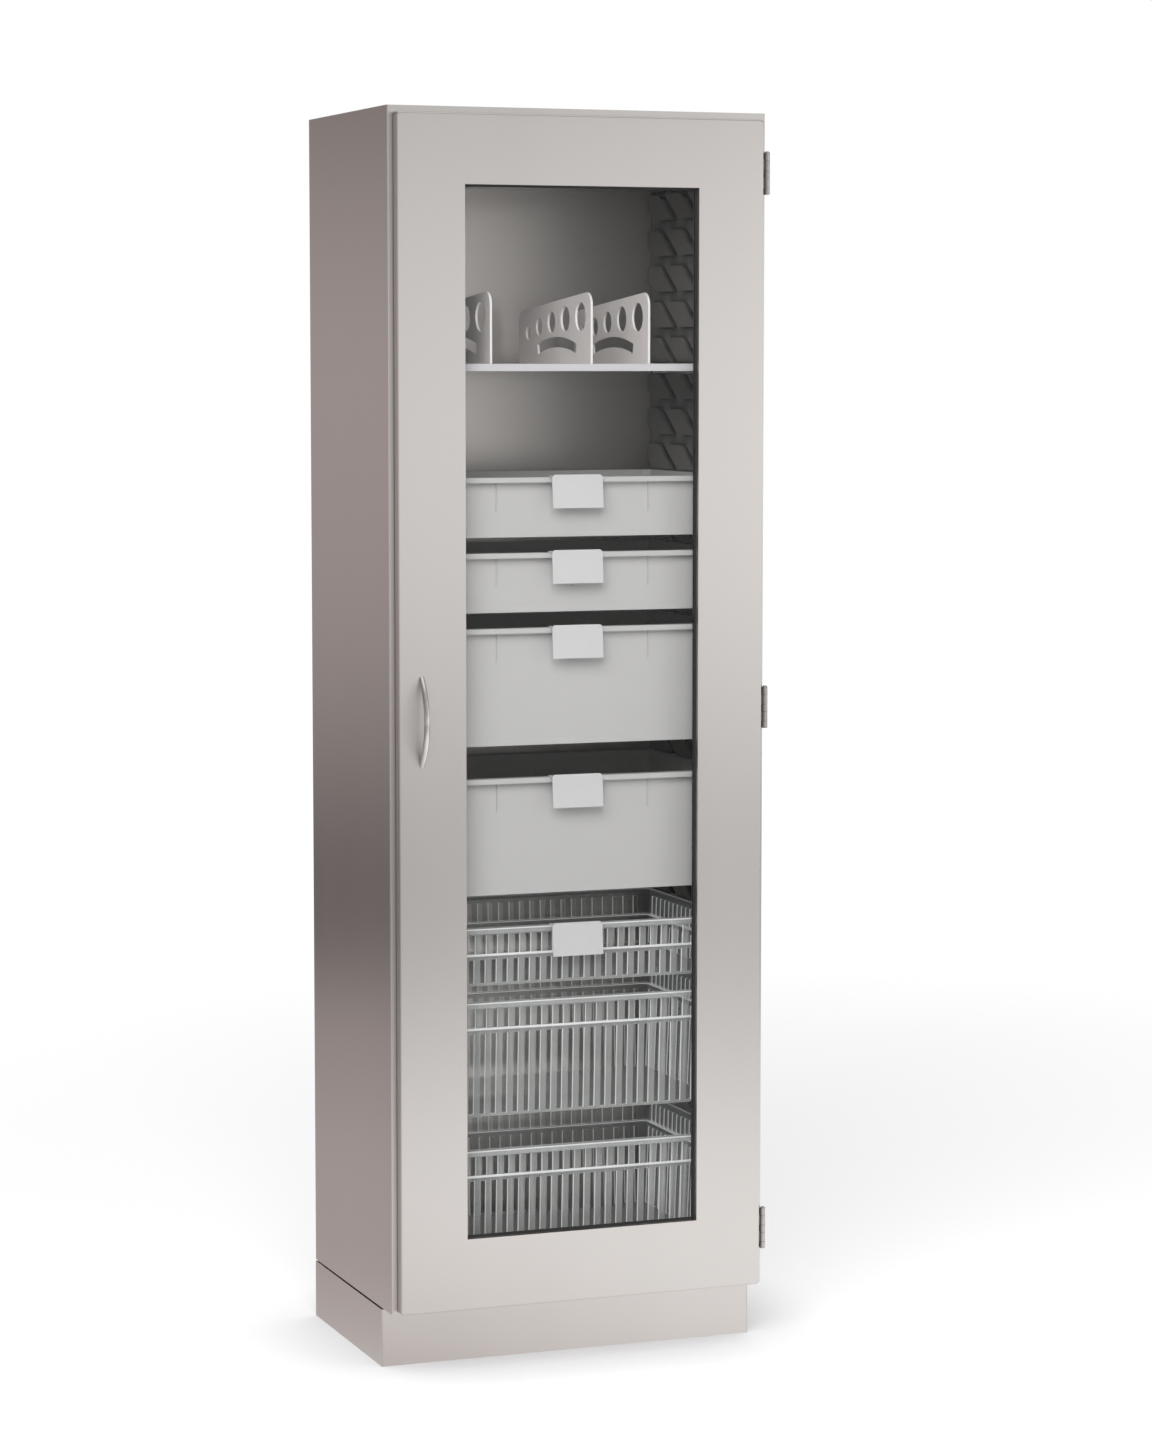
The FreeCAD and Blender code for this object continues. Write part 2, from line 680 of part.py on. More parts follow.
def make_open_box(label, depth):
    """Leaning walls with rounded corners and a floor, hung from a rim with a turned-down lip."""
    body = new_body(label)
    walls = new_sketch(body, "XY", "0")
    draw_box(walls, f"-{WALL_HALF}", WALL_HALF, WALL_FRONT, WALL_BACK)
    pad(body, walls, depth, reverse=True)
    inside = new_sketch(body, "XY", "0")
    draw_box(inside, f"-({WALL_HALF} - tray_wall)", f"{WALL_HALF} - tray_wall",
             f"{WALL_FRONT} + tray_wall", f"{WALL_BACK} - tray_wall")
    pocket(body, inside, f"{depth} - tray_floor")
    lean_walls(body, False)
    lean_walls(body, True)
    short = number(f"{depth} - tray_floor / 2")
    round_edges(body, "tray_corner - tray_wall", lambda edge: runs_along(edge, "z") and edge.Length < short)
    round_edges(body, "tray_corner", lambda edge: runs_along(edge, "z") and edge.Length > short)
    for thickness, inner in (("rim_plate", None), ("rim_lip", "rim_lip_wall")):
        rim = new_sketch(body, "XY", "0")
        draw_rim_line(rim, "0")
        if inner:
            draw_rim_line(rim, inner)
        else:
            draw_wall_line(rim, "tray_wall / 2")
        pad(body, rim, thickness, reverse=True)
    runners = new_sketch(body, "XY", "-runner_drop")
    for sign in (-1, 1):
        draw_loop(runners, mirrored([
            ("tray_half - rim_lip_wall", "tray_front + runner_end"),
            ("tray_half", "tray_front + runner_end"),
            ("tray_half", "tray_back - runner_end"),
            ("tray_half - rim_lip_wall", "tray_back - runner_end"),
        ], sign))
    pad(body, runners, "runner_drop - rim_lip")
    return body


def make_tray(label, row, depth):
    """A solid-walled tray with three stiffening ribs under its front rim."""
    body = make_open_box(label, depth)
    rib = new_sketch(body, "YZ", "-(rib_spread / 2)")
    lean = "rib_length * tan(wall_lean * 1deg)"
    draw_loop(rib, [
        (f"{WALL_FRONT} - rib_proud", "-(rim_plate / 2)"),
        (f"{WALL_FRONT} + tray_wall / 2", "-(rim_plate / 2)"),
        (f"{WALL_FRONT} + tray_wall / 2 + {lean}", "-(rib_length)"),
        (f"{WALL_FRONT}", "-(rib_length)"),
        (f"{WALL_FRONT} - rib_proud + tray_wall", "-(rib_length - rib_proud)"),
    ])
    ribs = pad(body, rib, "rib_gauge", middle=True)
    repeat(body, [ribs], "X_Axis", "rib_spread / 2", "3")
    hang(body, row)
    return body


def cut_slots(body, plane, half, level, depth, through):
    """Cuts one row of upright slots straight through two opposite walls."""
    count = f"(floor(2 * ({half} - slot_end) / slot_pitch) + 1)"
    middle = "0" if plane == "XZ" else TRAY_MIDDLE
    first = f"{middle} - slot_pitch * ({count} - 1) / 2"
    slot = new_sketch(body, plane, level)
    draw_box(slot, f"{first} - slot_width / 2", f"{first} + slot_width / 2",
             f"-({depth} - slot_foot)", "-slot_top")
    cut = pocket(body, slot, through, middle=True)
    repeat(body, [cut], "X_Axis" if plane == "XZ" else "Y_Axis", "slot_pitch", count)


def make_basket(label, row, depth):
    """A clear basket with upright slots all round."""
    body = make_open_box(label, depth)
    cut_slots(body, "XZ", WALL_HALF, TRAY_MIDDLE, depth, "tray_length - end_ledge")
    cut_slots(body, "YZ", "(tray_length / 2 - end_ledge)", "0", depth, "tray_width - side_ledge")
    hang(body, row)
    return body


def make_label_holder(label, row):
    """A flat holder that hooks over the front rim and leans out at its foot."""
    body = new_body(label)
    face = "(tray_front - label_standoff)"
    foot = "(label_height - label_rise)"
    side_view = new_sketch(body, "YZ", "0")
    draw_loop(side_view, [
        (f"{face} - label_gauge", "label_rise"),
        (face, "label_rise"),
        (face, "fit_gap + label_gauge"),
        (f"tray_front + label_hook", "fit_gap + label_gauge"),
        (f"tray_front + label_hook", "fit_gap"),
        (f"{face} + label_lean * fit_gap / {foot}", "fit_gap"),
        (f"{face} - label_lean", f"-{foot}"),
        (f"{face} - label_lean - label_gauge", f"-{foot}"),
    ])
    pad(body, side_view, "label_width", middle=True)
    front_view = new_sketch(body, "XZ", f"{face} - label_gauge - label_lean")
    for sign in (-1, 1):
        draw_loop(front_view, mirrored([
            ("label_width / 2 - label_corner", "label_rise"),
            ("label_width / 2", "label_rise"),
            ("label_width / 2", "label_rise - label_corner"),
        ], sign))
    pocket(body, front_view, "label_standoff + label_gauge + label_lean")
    hang(body, row)
    return body


for name, row, depth in TRAYS:
    keep(make_tray(name, row, depth))
for name, row, depth in BASKETS:
    keep(make_basket(name, row, depth))
for name, row, _ in TRAYS + BASKETS:
    if name in LABELLED:
        keep(make_label_holder(f"label_holder_{LABELLED[name]}", row))


# ---------------------------------------------------------------- the shelf and its dividers

SHELF_TOP = f"(first_ledge + row_pitch * {SHELF_ROW} + run_play + runner_drop)"


def divider_tabs():
    """Where the two tabs of a divider stand, front to back."""
    return ("(tray_front + tab_inset)", "(tray_front + divider_length - tab_inset)")


def make_shelf():
    """A plate with four turned-down flanges, slotted for the dividers' tabs."""
    body = new_body("shelf")
    plate = new_sketch(body, "XY", "-runner_drop")
    draw_box(plate, "-tray_half", "tray_half", "tray_front", "tray_back")
    pad(body, plate, "runner_drop")
    hollow = new_sketch(body, "XY", "-runner_drop")
    draw_box(hollow, "-(tray_half - shelf_sheet)", "tray_half - shelf_sheet",
             "tray_front + shelf_sheet", "tray_back - shelf_sheet")
    pocket(body, hollow, "runner_drop - shelf_sheet", reverse=True)
    nose = new_sketch(body, "YZ", "0")
    for low, high in (
        ("tray_front - overcut", "tray_front + shelf_sheet"),
        ("tray_back - shelf_sheet", "tray_back + overcut"),
    ):
        draw_box(nose, low, high, "-(runner_drop + overcut)", "-shelf_nose")
    pocket(body, nose, "tray_width + 2 * overcut", middle=True)
    slots = new_sketch(body, "XY", "0")
    for hand in DIVIDERS:
        left = f"divider_{hand} - divider_gauge / 2 - fit_gap"
        right = f"divider_{hand} + divider_gauge / 2 + fit_gap"
        for tab in divider_tabs():
            draw_box(slots, left, right,
                     f"{tab} - tab_length / 2 - fit_gap", f"{tab} + tab_length / 2 + fit_gap")
    pocket(body, slots, "shelf_sheet + overcut")
    bind(body, Placement__Base__z=SHELF_TOP)
    return body


def make_divider(hand):
    """A sloping plate with graded holes and a curved hand slot, standing in the shelf on two tabs."""
    body = new_body(f"{hand}_divider")
    level = f"divider_{hand} - divider_gauge / 2"
    outline = new_sketch(body, "YZ", level)
    rear = "(tray_front + divider_length)"
    corners = [("tray_front", "0")]
    for tab in divider_tabs():
        corners += [
            (f"{tab} - tab_length / 2", "0"),
            (f"{tab} - tab_length / 2", "-tab_drop"),
            (f"{tab} + tab_length / 2", "-tab_drop"),
            (f"{tab} + tab_length / 2", "0"),
        ]
    draw_loop(outline, corners + [(rear, "0"), (rear, "divider_back"), ("tray_front", "divider_front")])
    pad(body, outline, "divider_gauge")
    waist = number("divider_back") / 2
    round_edges(body, "divider_corner", lambda edge: runs_along(edge, "x") and edge.CenterOfMass.z > waist)

    holes = new_sketch(body, "YZ", level)
    for i in range(int(number("divider_holes"))):
        pitch = f"(divider_web + divider_hole - {i} * divider_hole_step / 2)"
        draw_circle(
            holes,
            f"tray_front + divider_hole_first + {i} * {pitch}",
            f"divider_hole_height - {i * (i + 1)} * divider_hole_fall",
            f"divider_hole - {i} * divider_hole_step",
        )
    pocket(body, holes, "divider_gauge", reverse=True)
    cut_hand_slot(body, level)
    bind(body, Placement__Base__z=SHELF_TOP)
    return body


def cut_hand_slot(body, level):
    """A slot between two arcs round one centre, crowned upwards."""
    slot = new_sketch(body, "YZ", level)
    middle = "tray_front + grip_middle"
    hub = "grip_crown - grip_outer"
    turn = math.asin(number("grip_half / grip_outer"))
    centre = FreeCAD.Vector(number(middle), number(hub), 0)
    start, stop = math.pi / 2 - turn, math.pi / 2 + turn
    arcs = []
    for radius in ("grip_outer", "grip_outer - grip_height"):
        circle = Part.Circle(centre, FreeCAD.Vector(0, 0, 1), number(radius))
        arc = slot.addGeometry(Part.ArcOfCircle(circle, start, stop), False)
        pin_point(slot, arc, 3, middle, hub)
        place = slot.addConstraint(Sketcher.Constraint("Radius", arc, number(radius)))
        slot.setExpression(f"Constraints[{place}]", formula(radius))
        arcs.append(arc)
    outer, inner = arcs
    shape = slot.Geometry
    for end in (1, 2):
        spots = [shape[arc].StartPoint if end == 1 else shape[arc].EndPoint for arc in arcs]
        side = slot.addGeometry(Part.LineSegment(*spots), False)
        slot.addConstraint(Sketcher.Constraint("Coincident", outer, end, side, 1))
        slot.addConstraint(Sketcher.Constraint("Coincident", inner, end, side, 2))
        slot.addConstraint(Sketcher.Constraint("PointOnObject", outer, 3, side))
        direction = "" if end == 1 else "-"
        reach = f"{middle} + {direction}grip_half"
        place = slot.addConstraint(Sketcher.Constraint("DistanceX", -1, 1, outer, end, number(reach)))
        slot.setExpression(f"Constraints[{place}]", formula(reach))
    pocket(body, slot, "divider_gauge", reverse=True)


keep(make_shelf())
for hand in DIVIDERS:
    keep(make_divider(hand))


# ---------------------------------------------------------------- the door

def window_box(sketch, grow):
    """The window's outline, grown on every side."""
    draw_box(sketch, f"-(window_side + {grow})", f"window_side + {grow}",
             f"window_foot - ({grow})", f"window_top + {grow}")


def door_box(sketch, shrink):
    """The door's outline with its rounded corners, shrunk on every side."""
    draw_round_box(sketch, f"-(door_side - ({shrink}))", f"door_side - ({shrink})",
                   f"door_foot + {shrink}", f"door_top - ({shrink})", f"(door_corner - ({shrink}))")


def make_front_pan():
    """The door's front sheet, folded back round its edge and into the window."""
    body = new_body("door_front_pan")
    frame = new_sketch(body, "XZ", "door_back")
    door_box(frame, "0")
    window_box(frame, "0")
    pad(body, frame, "door_thickness")
    face = number("door_front") + SLACK
    window = number("window_side + door_skin")
    low, high = number("window_foot - door_skin"), number("window_top + door_skin")

    def on_nose(edge):
        box = edge.BoundBox
        outside = box.XMax > window or box.XMin < -window or box.ZMin < low or box.ZMax > high
        return box.YMax < face and outside
    round_edges(body, "door_nose", on_nose)

    rebate = new_sketch(body, "XZ", "door_back")
    door_box(rebate, "door_skin")
    pocket(body, rebate, "door_thickness - reveal", reverse=True)
    trough = new_sketch(body, "XZ", "door_back")
    door_box(trough, "door_skin")
    window_box(trough, "door_skin")
    pocket(body, trough, "door_thickness - door_skin", reverse=True)
    holes = new_sketch(body, "XZ", "door_back")
    for sign in (-1, 1):
        height = f"handle_height + {sign} * screw_centres / 2"
        draw_circle(holes, "handle_x", height, "screw_shank + 2 * fit_gap")
    pocket(body, holes, "door_thickness + overcut", reverse=True)
    return body


def make_back_pan():
    """The sheet that closes the door's back inside the folded edge."""
    body = new_body("door_back_pan")
    sheet = new_sketch(body, "XZ", "door_back")
    door_box(sheet, "door_skin + fit_gap")
    window_box(sheet, "-seal_sight")
    pad(body, sheet, "pan_gauge")
    return body


def make_glazing_seal():
    """A channel-section seal round the edge of the glass."""
    body = new_body("glazing_seal")
    ring = new_sketch(body, "XZ", "glass_back + seal_rear_leg")
    window_box(ring, "glass_bite + seal_web")
    window_box(ring, "-seal_sight")
    pad(body, ring, "glass_back + seal_rear_leg - seal_front")
    channel = new_sketch(body, "XZ", "glass_back")
    window_box(channel, "glass_bite")
    pocket(body, channel, "glass_thickness", reverse=True)
    return body


def bow_point(step):
    """A point of the bow's middle line, in steps of one bend from its crown; front to back and up."""
    return (
        f"door_front - bow_rise + bow_radius * (1 - cos({step} * bow_step))",
        f"handle_height + bow_radius * sin({step} * bow_step)",
    )


def make_handle():
    """A round bar pressed to a bow in short bends, its ends cut flush with the door's face."""
    last = number("handle_bends") / 2 + 1
    path = doc.addObject("Sketcher::SketchObject", "handle_path")
    path.Placement = FreeCAD.Placement(FreeCAD.Vector(), FreeCAD.Rotation(FreeCAD.Vector(1, 1, 1), 120))
    draw_chain(path, [bow_point(step - last) for step in range(int(2 * last) + 1)])
    pin_point(path, path.GeometryCount - 1, 2, *bow_point(last))
    bind(path, Placement__Base__x="handle_x")
    section = doc.addObject("Part::Circle", "handle_section")
    section.Placement = FreeCAD.Placement(FreeCAD.Vector(), FreeCAD.Rotation(FreeCAD.Vector(1, 0, 0), 45))
    start_y, start_z = bow_point(-last)
    bind(section, Radius="handle_bar / 2",
         Placement__Base__x="handle_x", Placement__Base__y=start_y, Placement__Base__z=start_z,
         Placement__Rotation__Angle=f"({last} - 1 / 2) * bow_step")
    bar = doc.addObject("Part::Sweep", "handle_bar_run")
    bar.Sections = [section]
    bar.Spine = (path, [])
    bar.Solid = True
    bar.Transition = "Right corner"
    zone = plain_block("handle_zone", "handle_x - handle_bar", "handle_x + handle_bar",
                       "door_front - handle_reach - handle_bar", "door_front",
                       "handle_height - handle_chord", "handle_height + handle_chord")
    bow = doc.addObject("Part::Common", "handle_bow")
    bow.Base = bar
    bow.Tool = zone
    bores = doc.addObject("Part::Compound", "handle_bores")
    bores.Links = [
        make_rod(f"handle_bore_{end}", "screw_shank / 2 + pin_play",
                 "door_front", "-(screw_bite + screw_relief)", sign)
        for end, sign in (("low", -1), ("high", 1))
    ]
    handle = doc.addObject("Part::Cut", "handle")
    handle.Label = "handle"
    handle.Base = bow
    handle.Tool = bores
    return handle


def make_rod(label, radius, y_from, run, sign):
    """A rod along Y on a handle screw's axis; a negative run goes towards the front."""
    rod = doc.addObject("Part::Cylinder", label)
    rod.Placement = FreeCAD.Placement(FreeCAD.Vector(), FreeCAD.Rotation(FreeCAD.Vector(1, 0, 0), -90))
    bind(rod, Radius=radius, Height=f"abs({run})",
         Placement__Base__x="handle_x",
         Placement__Base__y=f"{y_from} + min(0; {run})",
         Placement__Base__z=f"handle_height + {sign} * screw_centres / 2")
    return rod


def make_screw_head(label, sign):
    """A six-sided head behind the door's front sheet."""
    head = doc.addObject("Part::Prism", label)
    head.Polygon = 6
    head.Placement = FreeCAD.Placement(FreeCAD.Vector(), FreeCAD.Rotation(FreeCAD.Vector(1, 0, 0), -90))
    bind(head, Circumradius="screw_head / 2", Height="screw_head_height",
         Placement__Base__x="handle_x",
         Placement__Base__y="door_front + door_skin",
         Placement__Base__z=f"handle_height + {sign} * screw_centres / 2")
    return head


def make_handle_screws():
    """Two six-sided screws, put in from behind the door's front sheet."""
    screws = doc.addObject("Part::Compound", "handle_screws")
    screws.Label = "handle_screws"
    pairs = []
    for end, sign in (("low", -1), ("high", 1)):
        screw = doc.addObject("Part::Fuse", f"handle_screw_{end}")
        screw.Base = make_rod(f"shank_{end}", "screw_shank / 2", "door_front + door_skin",
                              "-(door_skin + screw_bite)", sign)
        screw.Tool = make_screw_head(f"head_{end}", sign)
        pairs.append(screw)
    screws.Links = pairs
    return screws


def make_buffers():
    """Three soft buttons on the back of the door's free stile."""
    group = doc.addObject("Part::Compound", "door_buffers")
    group.Label = "door_buffers"
    inset = "(top_rail / 2)"
    buttons = []
    for end, height in (
        ("low", f"door_foot + {inset}"),
        ("middle", "(door_foot + door_top) / 2"),
        ("high", f"door_top - {inset}"),
    ):
        button = doc.addObject("Part::Cylinder", f"door_buffer_{end}")
        button.Placement = FreeCAD.Placement(FreeCAD.Vector(), FreeCAD.Rotation(FreeCAD.Vector(1, 0, 0), -90))
        bind(button, Radius="buffer_size / 2", Height="buffer_height",
             Placement__Base__x="-(door_side - buffer_edge)",
             Placement__Base__y="door_back",
             Placement__Base__z=height)
        buttons.append(button)
    group.Links = buttons
    return group


glass = plain_block("door_glass", "-glass_side", "glass_side", "glass_front", "glass_back",
                    "window_foot - glass_bite", "window_top + glass_bite")
keep(make_front_pan(), make_back_pan(), make_glazing_seal(), glass, make_handle(), make_handle_screws(),
     make_buffers())


# ---------------------------------------------------------------- hinges

HINGES = ("lower", "middle", "upper")
DOOR_KNUCKLE_LOW = "hinge_end_knuckle"
DOOR_KNUCKLE_HIGH = "(hinge_end_knuckle + hinge_door_knuckle)"


def knuckle_spans(on_door):
    """The five knuckles of a barrel, from its foot; two are the door's and three the case's."""
    door = [
        (DOOR_KNUCKLE_LOW, DOOR_KNUCKLE_HIGH),
        (f"hinge_length - {DOOR_KNUCKLE_HIGH}", f"hinge_length - {DOOR_KNUCKLE_LOW}"),
    ]
    case = [
        ("0", DOOR_KNUCKLE_LOW),
        (DOOR_KNUCKLE_HIGH, f"hinge_length - {DOOR_KNUCKLE_HIGH}"),
        (f"hinge_length - {DOOR_KNUCKLE_LOW}", "hinge_length"),
    ]
    return door if on_door else case


def make_leaf(label, height, on_door):
    """A flat leaf in the gap behind the door, with the knuckles that its tabs are rolled into."""
    body = new_body(label)
    if on_door:
        leaf_low, leaf_high = "door_back", "door_back + hinge_leaf"
    else:
        leaf_low, leaf_high = "front - hinge_leaf", "front"
    plate = new_sketch(body, "XY", "0")
    clear = "hinge_x - hinge_barrel / 2 - 2 * fit_gap"
    draw_box(plate, "hinge_x - hinge_leaf_width", clear, leaf_low, leaf_high)
    pad(body, plate, "hinge_length")
    for low, high in knuckle_spans(on_door):
        foot = f"{low} + knuckle_gap"
        run = f"({high}) - ({low}) - 2 * knuckle_gap"
        tab = new_sketch(body, "XY", foot)
        draw_box(tab, f"{clear} - hinge_leaf", "hinge_x - hinge_pin / 2 - hinge_leaf / 2",
                 leaf_low, leaf_high)
        pad(body, tab, run)
        roll = new_sketch(body, "XY", foot)
        draw_circle(roll, "hinge_x", "hinge_y", "hinge_barrel")
        pad(body, roll, run)
    bore = new_sketch(body, "XY", "0")
    draw_circle(bore, "hinge_x", "hinge_y", "hinge_pin + 2 * pin_play")
    pocket(body, bore, "hinge_length", reverse=True)
    bind(body, Placement__Base__z=f"{height} - hinge_length / 2")
    return body


def make_pin(label, height):
    """A pin that hangs in the barrel from its rounded head."""
    body = new_body(label)
    profile = new_sketch(body, "XZ", "0")
    shank = "hinge_pin / 2"
    barrel = "hinge_barrel / 2"
    draw_loop(profile, [
        ("0", "0"),
        (shank, "0"),
        (shank, "hinge_length"),
        (barrel, "hinge_length"),
        (barrel, "hinge_length + hinge_tip / 3"),
        ("hinge_barrel / 4", "hinge_length + hinge_tip"),
        ("0", "hinge_length + hinge_tip"),
    ])
    turned = body.newObject("PartDesign::Revolution", "turned")
    turned.Profile = profile
    turned.ReferenceAxis = (profile, ["V_Axis"])
    turned.Angle = 360
    profile.Visibility = False
    doc.recompute()
    bind(body, Placement__Base__x="hinge_x", Placement__Base__y="hinge_y",
         Placement__Base__z=f"{height} - hinge_length / 2")
    return body


for name in HINGES:
    keep(
        make_leaf(f"{name}_hinge_case_leaf", f"{name}_hinge", False),
        make_leaf(f"{name}_hinge_door_leaf", f"{name}_hinge", True),
        make_pin(f"{name}_hinge_pin", f"{name}_hinge"),
    )


# ---------------------------------------------------------------- magnetic catches

CATCH_X = ("-(side - catch_edge)", "-(side - catch_edge - catch_length)")
CATCH_FRONT = "door_back + strike_gauge + fit_gap"
for name, low in (("upper", "ceiling - catch_height"), ("lower", "floor_top")):
    keep(
        plain_block(f"{name}_catch", *CATCH_X, CATCH_FRONT, f"{CATCH_FRONT} + catch_depth",
                    low, f"{low} + catch_height"),
        plain_block(f"{name}_strike", *CATCH_X, "door_back", "door_back + strike_gauge",
                    f"{low} + fit_gap", f"{low} + catch_height - fit_gap"),
    )


# ---------------------------------------------------------------- check and write

doc.recompute()
for item in doc.Objects:
    if "Invalid" in item.State or "Error" in item.State:
        raise RuntimeError(f"{item.Label} failed: {item.State}")
for piece in sub_parts:
    if piece.Shape.isNull() or not piece.Shape.isValid() or not piece.Shape.Solids:
        raise RuntimeError(f"{piece.Label} has no valid solid")

os.makedirs("parts", exist_ok=True)
for piece in sub_parts:
    piece.Shape.exportStep(f"parts/{piece.Label}.step")
print(len(sub_parts), "sub-parts written")
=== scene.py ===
"""Suture cabinet: finishes and fittings for every piece, and the floor, lamps and camera round it.

Metres, in the cabinet's own frame: X to the right, Y to the back, Z up, origin on the floor.
"""
import math
from typing import NamedTuple

import bmesh
import bpy
from mathutils import Matrix, Vector


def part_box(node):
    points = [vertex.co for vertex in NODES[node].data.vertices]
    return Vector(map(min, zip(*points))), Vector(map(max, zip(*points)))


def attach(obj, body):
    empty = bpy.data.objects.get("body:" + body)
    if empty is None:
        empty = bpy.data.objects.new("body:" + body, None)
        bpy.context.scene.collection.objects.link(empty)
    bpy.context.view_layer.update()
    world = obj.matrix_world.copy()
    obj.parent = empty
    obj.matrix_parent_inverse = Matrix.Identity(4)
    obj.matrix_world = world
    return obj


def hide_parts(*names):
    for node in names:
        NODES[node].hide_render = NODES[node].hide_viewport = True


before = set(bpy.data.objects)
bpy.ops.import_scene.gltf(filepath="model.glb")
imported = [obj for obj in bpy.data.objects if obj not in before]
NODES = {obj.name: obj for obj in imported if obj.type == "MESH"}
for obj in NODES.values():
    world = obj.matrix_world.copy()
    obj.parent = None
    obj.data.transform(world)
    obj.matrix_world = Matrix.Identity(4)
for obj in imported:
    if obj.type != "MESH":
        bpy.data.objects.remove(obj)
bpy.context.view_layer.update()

MM = 0.001

bl_info = {
    "name": "Suture Cabinet",
    "version": (1, 0, 0),
    "blender": (4, 5, 0),
    "location": "View3D > Sidebar > Cabinet",
    "description": "Finishes, fittings and studio for a glazed suture cabinet",
    "category": "Object",
}


# ---------------------------------------------------------------- nodes

# sockets of a Mix node that blends colours
MIX_MASK, MIX_LOW, MIX_HIGH, MIX_RESULT = 0, 6, 7, 2


class Wire:
    """A node's output; arithmetic on it adds Math nodes."""

    def __init__(self, graph, socket):
        self.graph = graph
        self.socket = socket

    def __add__(self, other):
        return self.graph.maths("ADD", self, other)

    __radd__ = __add__

    def __sub__(self, other):
        return self.graph.maths("SUBTRACT", self, other)

    def __rsub__(self, other):
        return self.graph.maths("SUBTRACT", other, self)

    def __mul__(self, other):
        return self.graph.maths("MULTIPLY", self, other)

    __rmul__ = __mul__


class Graph:
    """The nodes of one tree."""

    def __init__(self, tree):
        self.tree = tree
        tree.nodes.clear()

    def node(self, kind, settings=None, values=None, out=0):
        """Adds a node, makes its settings, feeds its sockets and returns one of its outputs."""
        made = self.tree.nodes.new(kind)
        for name, value in (settings or {}).items():
            if name == "stops":
                self.set_stops(made.color_ramp, value)
            else:
                setattr(made, name, value)
        for name, value in (values or {}).items():
            if isinstance(value, Wire):
                self.tree.links.new(value.socket, made.inputs[name])
            else:
                made.inputs[name].default_value = value
        return Wire(self, made.outputs[out]) if len(made.outputs) else made

    def set_stops(self, ramp, stops):
        while len(ramp.elements) < len(stops):
            ramp.elements.new(1)
        for element, (place, level) in zip(ramp.elements, stops):
            element.position = place
            element.color = (level, level, level, 1)

    def maths(self, operation, *values):
        return self.node("ShaderNodeMath", {"operation": operation}, dict(enumerate(values)))


class Finish(Graph):
    """The shader nodes of one material or of the world."""

    def __init__(self, owner):
        owner.use_nodes = True
        super().__init__(owner.node_tree)
        self.owner = owner

    def place(self, stretch=(1, 1, 1)):
        """Object coordinates, multiplied along each axis."""
        spot = self.node("ShaderNodeTexCoord", out="Object")
        return self.node("ShaderNodeVectorMath", {"operation": "MULTIPLY"}, {0: spot, 1: stretch})

    def noise(self, stretch, detail=3, roughness=0.5):
        """Even noise from 0 to 1; stretch gives its cells to the metre along each axis."""
        return self.node("ShaderNodeTexNoise", values={
            "Vector": self.place(stretch), "Scale": 1.0, "Detail": detail, "Roughness": roughness,
        })

    def blend(self, mask, low, high):
        """A colour between two, by a mask."""
        return self.node("ShaderNodeMix", {"data_type": "RGBA"}, {
            MIX_MASK: mask, MIX_LOW: rgba(low), MIX_HIGH: rgba(high),
        }, out=MIX_RESULT)

    def openness(self, reach):
        """How open each place lies to what is within reach: 1 in the open, less in a corner or groove."""
        return self.node("ShaderNodeAmbientOcclusion", {"samples": 8}, {"Distance": reach}, out="AO")

    def relief(self, height, depth, strength):
        """A bump whose depth is in mm."""
        return self.node("ShaderNodeBump", values={
            "Height": height, "Distance": depth * MM, "Strength": strength,
        })

    def surface(self, shader):
        """Ends the tree with a shader and returns what it finishes."""
        is_world = isinstance(self.owner, bpy.types.World)
        kind = "ShaderNodeOutputWorld" if is_world else "ShaderNodeOutputMaterial"
        self.node(kind, values={"Surface": shader})
        return self.owner

    def principled(self, **sockets):
        """The main shader; an underscore in a socket's name stands for a space."""
        return self.node("ShaderNodeBsdfPrincipled", values={
            name.replace("_", " "): rgba(value) if name == "Base_Color" else value
            for name, value in sockets.items()
        })


def rgba(colour):
    """A colour with its alpha; a wire stays as it is."""
    if isinstance(colour, Wire) or len(colour) == 4:
        return colour
    return (*colour, 1)


def shade(colour, factor):
    """A colour made darker or lighter."""
    return tuple(channel * factor for channel in colour[:3])


def new_finish(name):
    return Finish(bpy.data.materials.new(name))


# ---------------------------------------------------------------- finishes

# cells of noise to the metre along X, Y and Z
SHEET_GRAIN, SHEET_CLOUDS = (1400, 1400, 22), (7, 7, 1.6)
BAR_GRAIN, BAR_WEAR = (900, 900, 900), (60, 60, 25)
ZINC_SPANGLE, ZINC_HAZE = (180, 180, 180), (30, 30, 30)
MOULD_PEBBLE, MOULD_FLOW = 900, (5, 5, 9)
CLEAR_SKIN, CLEAR_FLOW = (260, 260, 260), (14, 14, 30)
GLASS_HAZE, RUBBER_BLOOM, FLOOR_MOTTLE = (3, 3, 3), (120, 120, 120), (2, 2, 2)

# painted shade in grooves: how open a groove is where the painted shade is darkest and where there is none,
# and how dark the painted shade gets
GROOVE_SHADE_SHUT, GROOVE_SHADE_OPEN, GROOVE_SHADE_TONE = 0.52, 0.82, 0.05

# clear plastic: its index, how much less it hides from behind, how its veil drifts, and its gleam
CLEAR_INDEX, CLEAR_FADE, CLEAR_DRIFT, CLEAR_GLEAM = 1.49, 0.8, 0.06, 0.45
GLASS_INDEX, GLASS_GLEAM = 1.45, 0.28


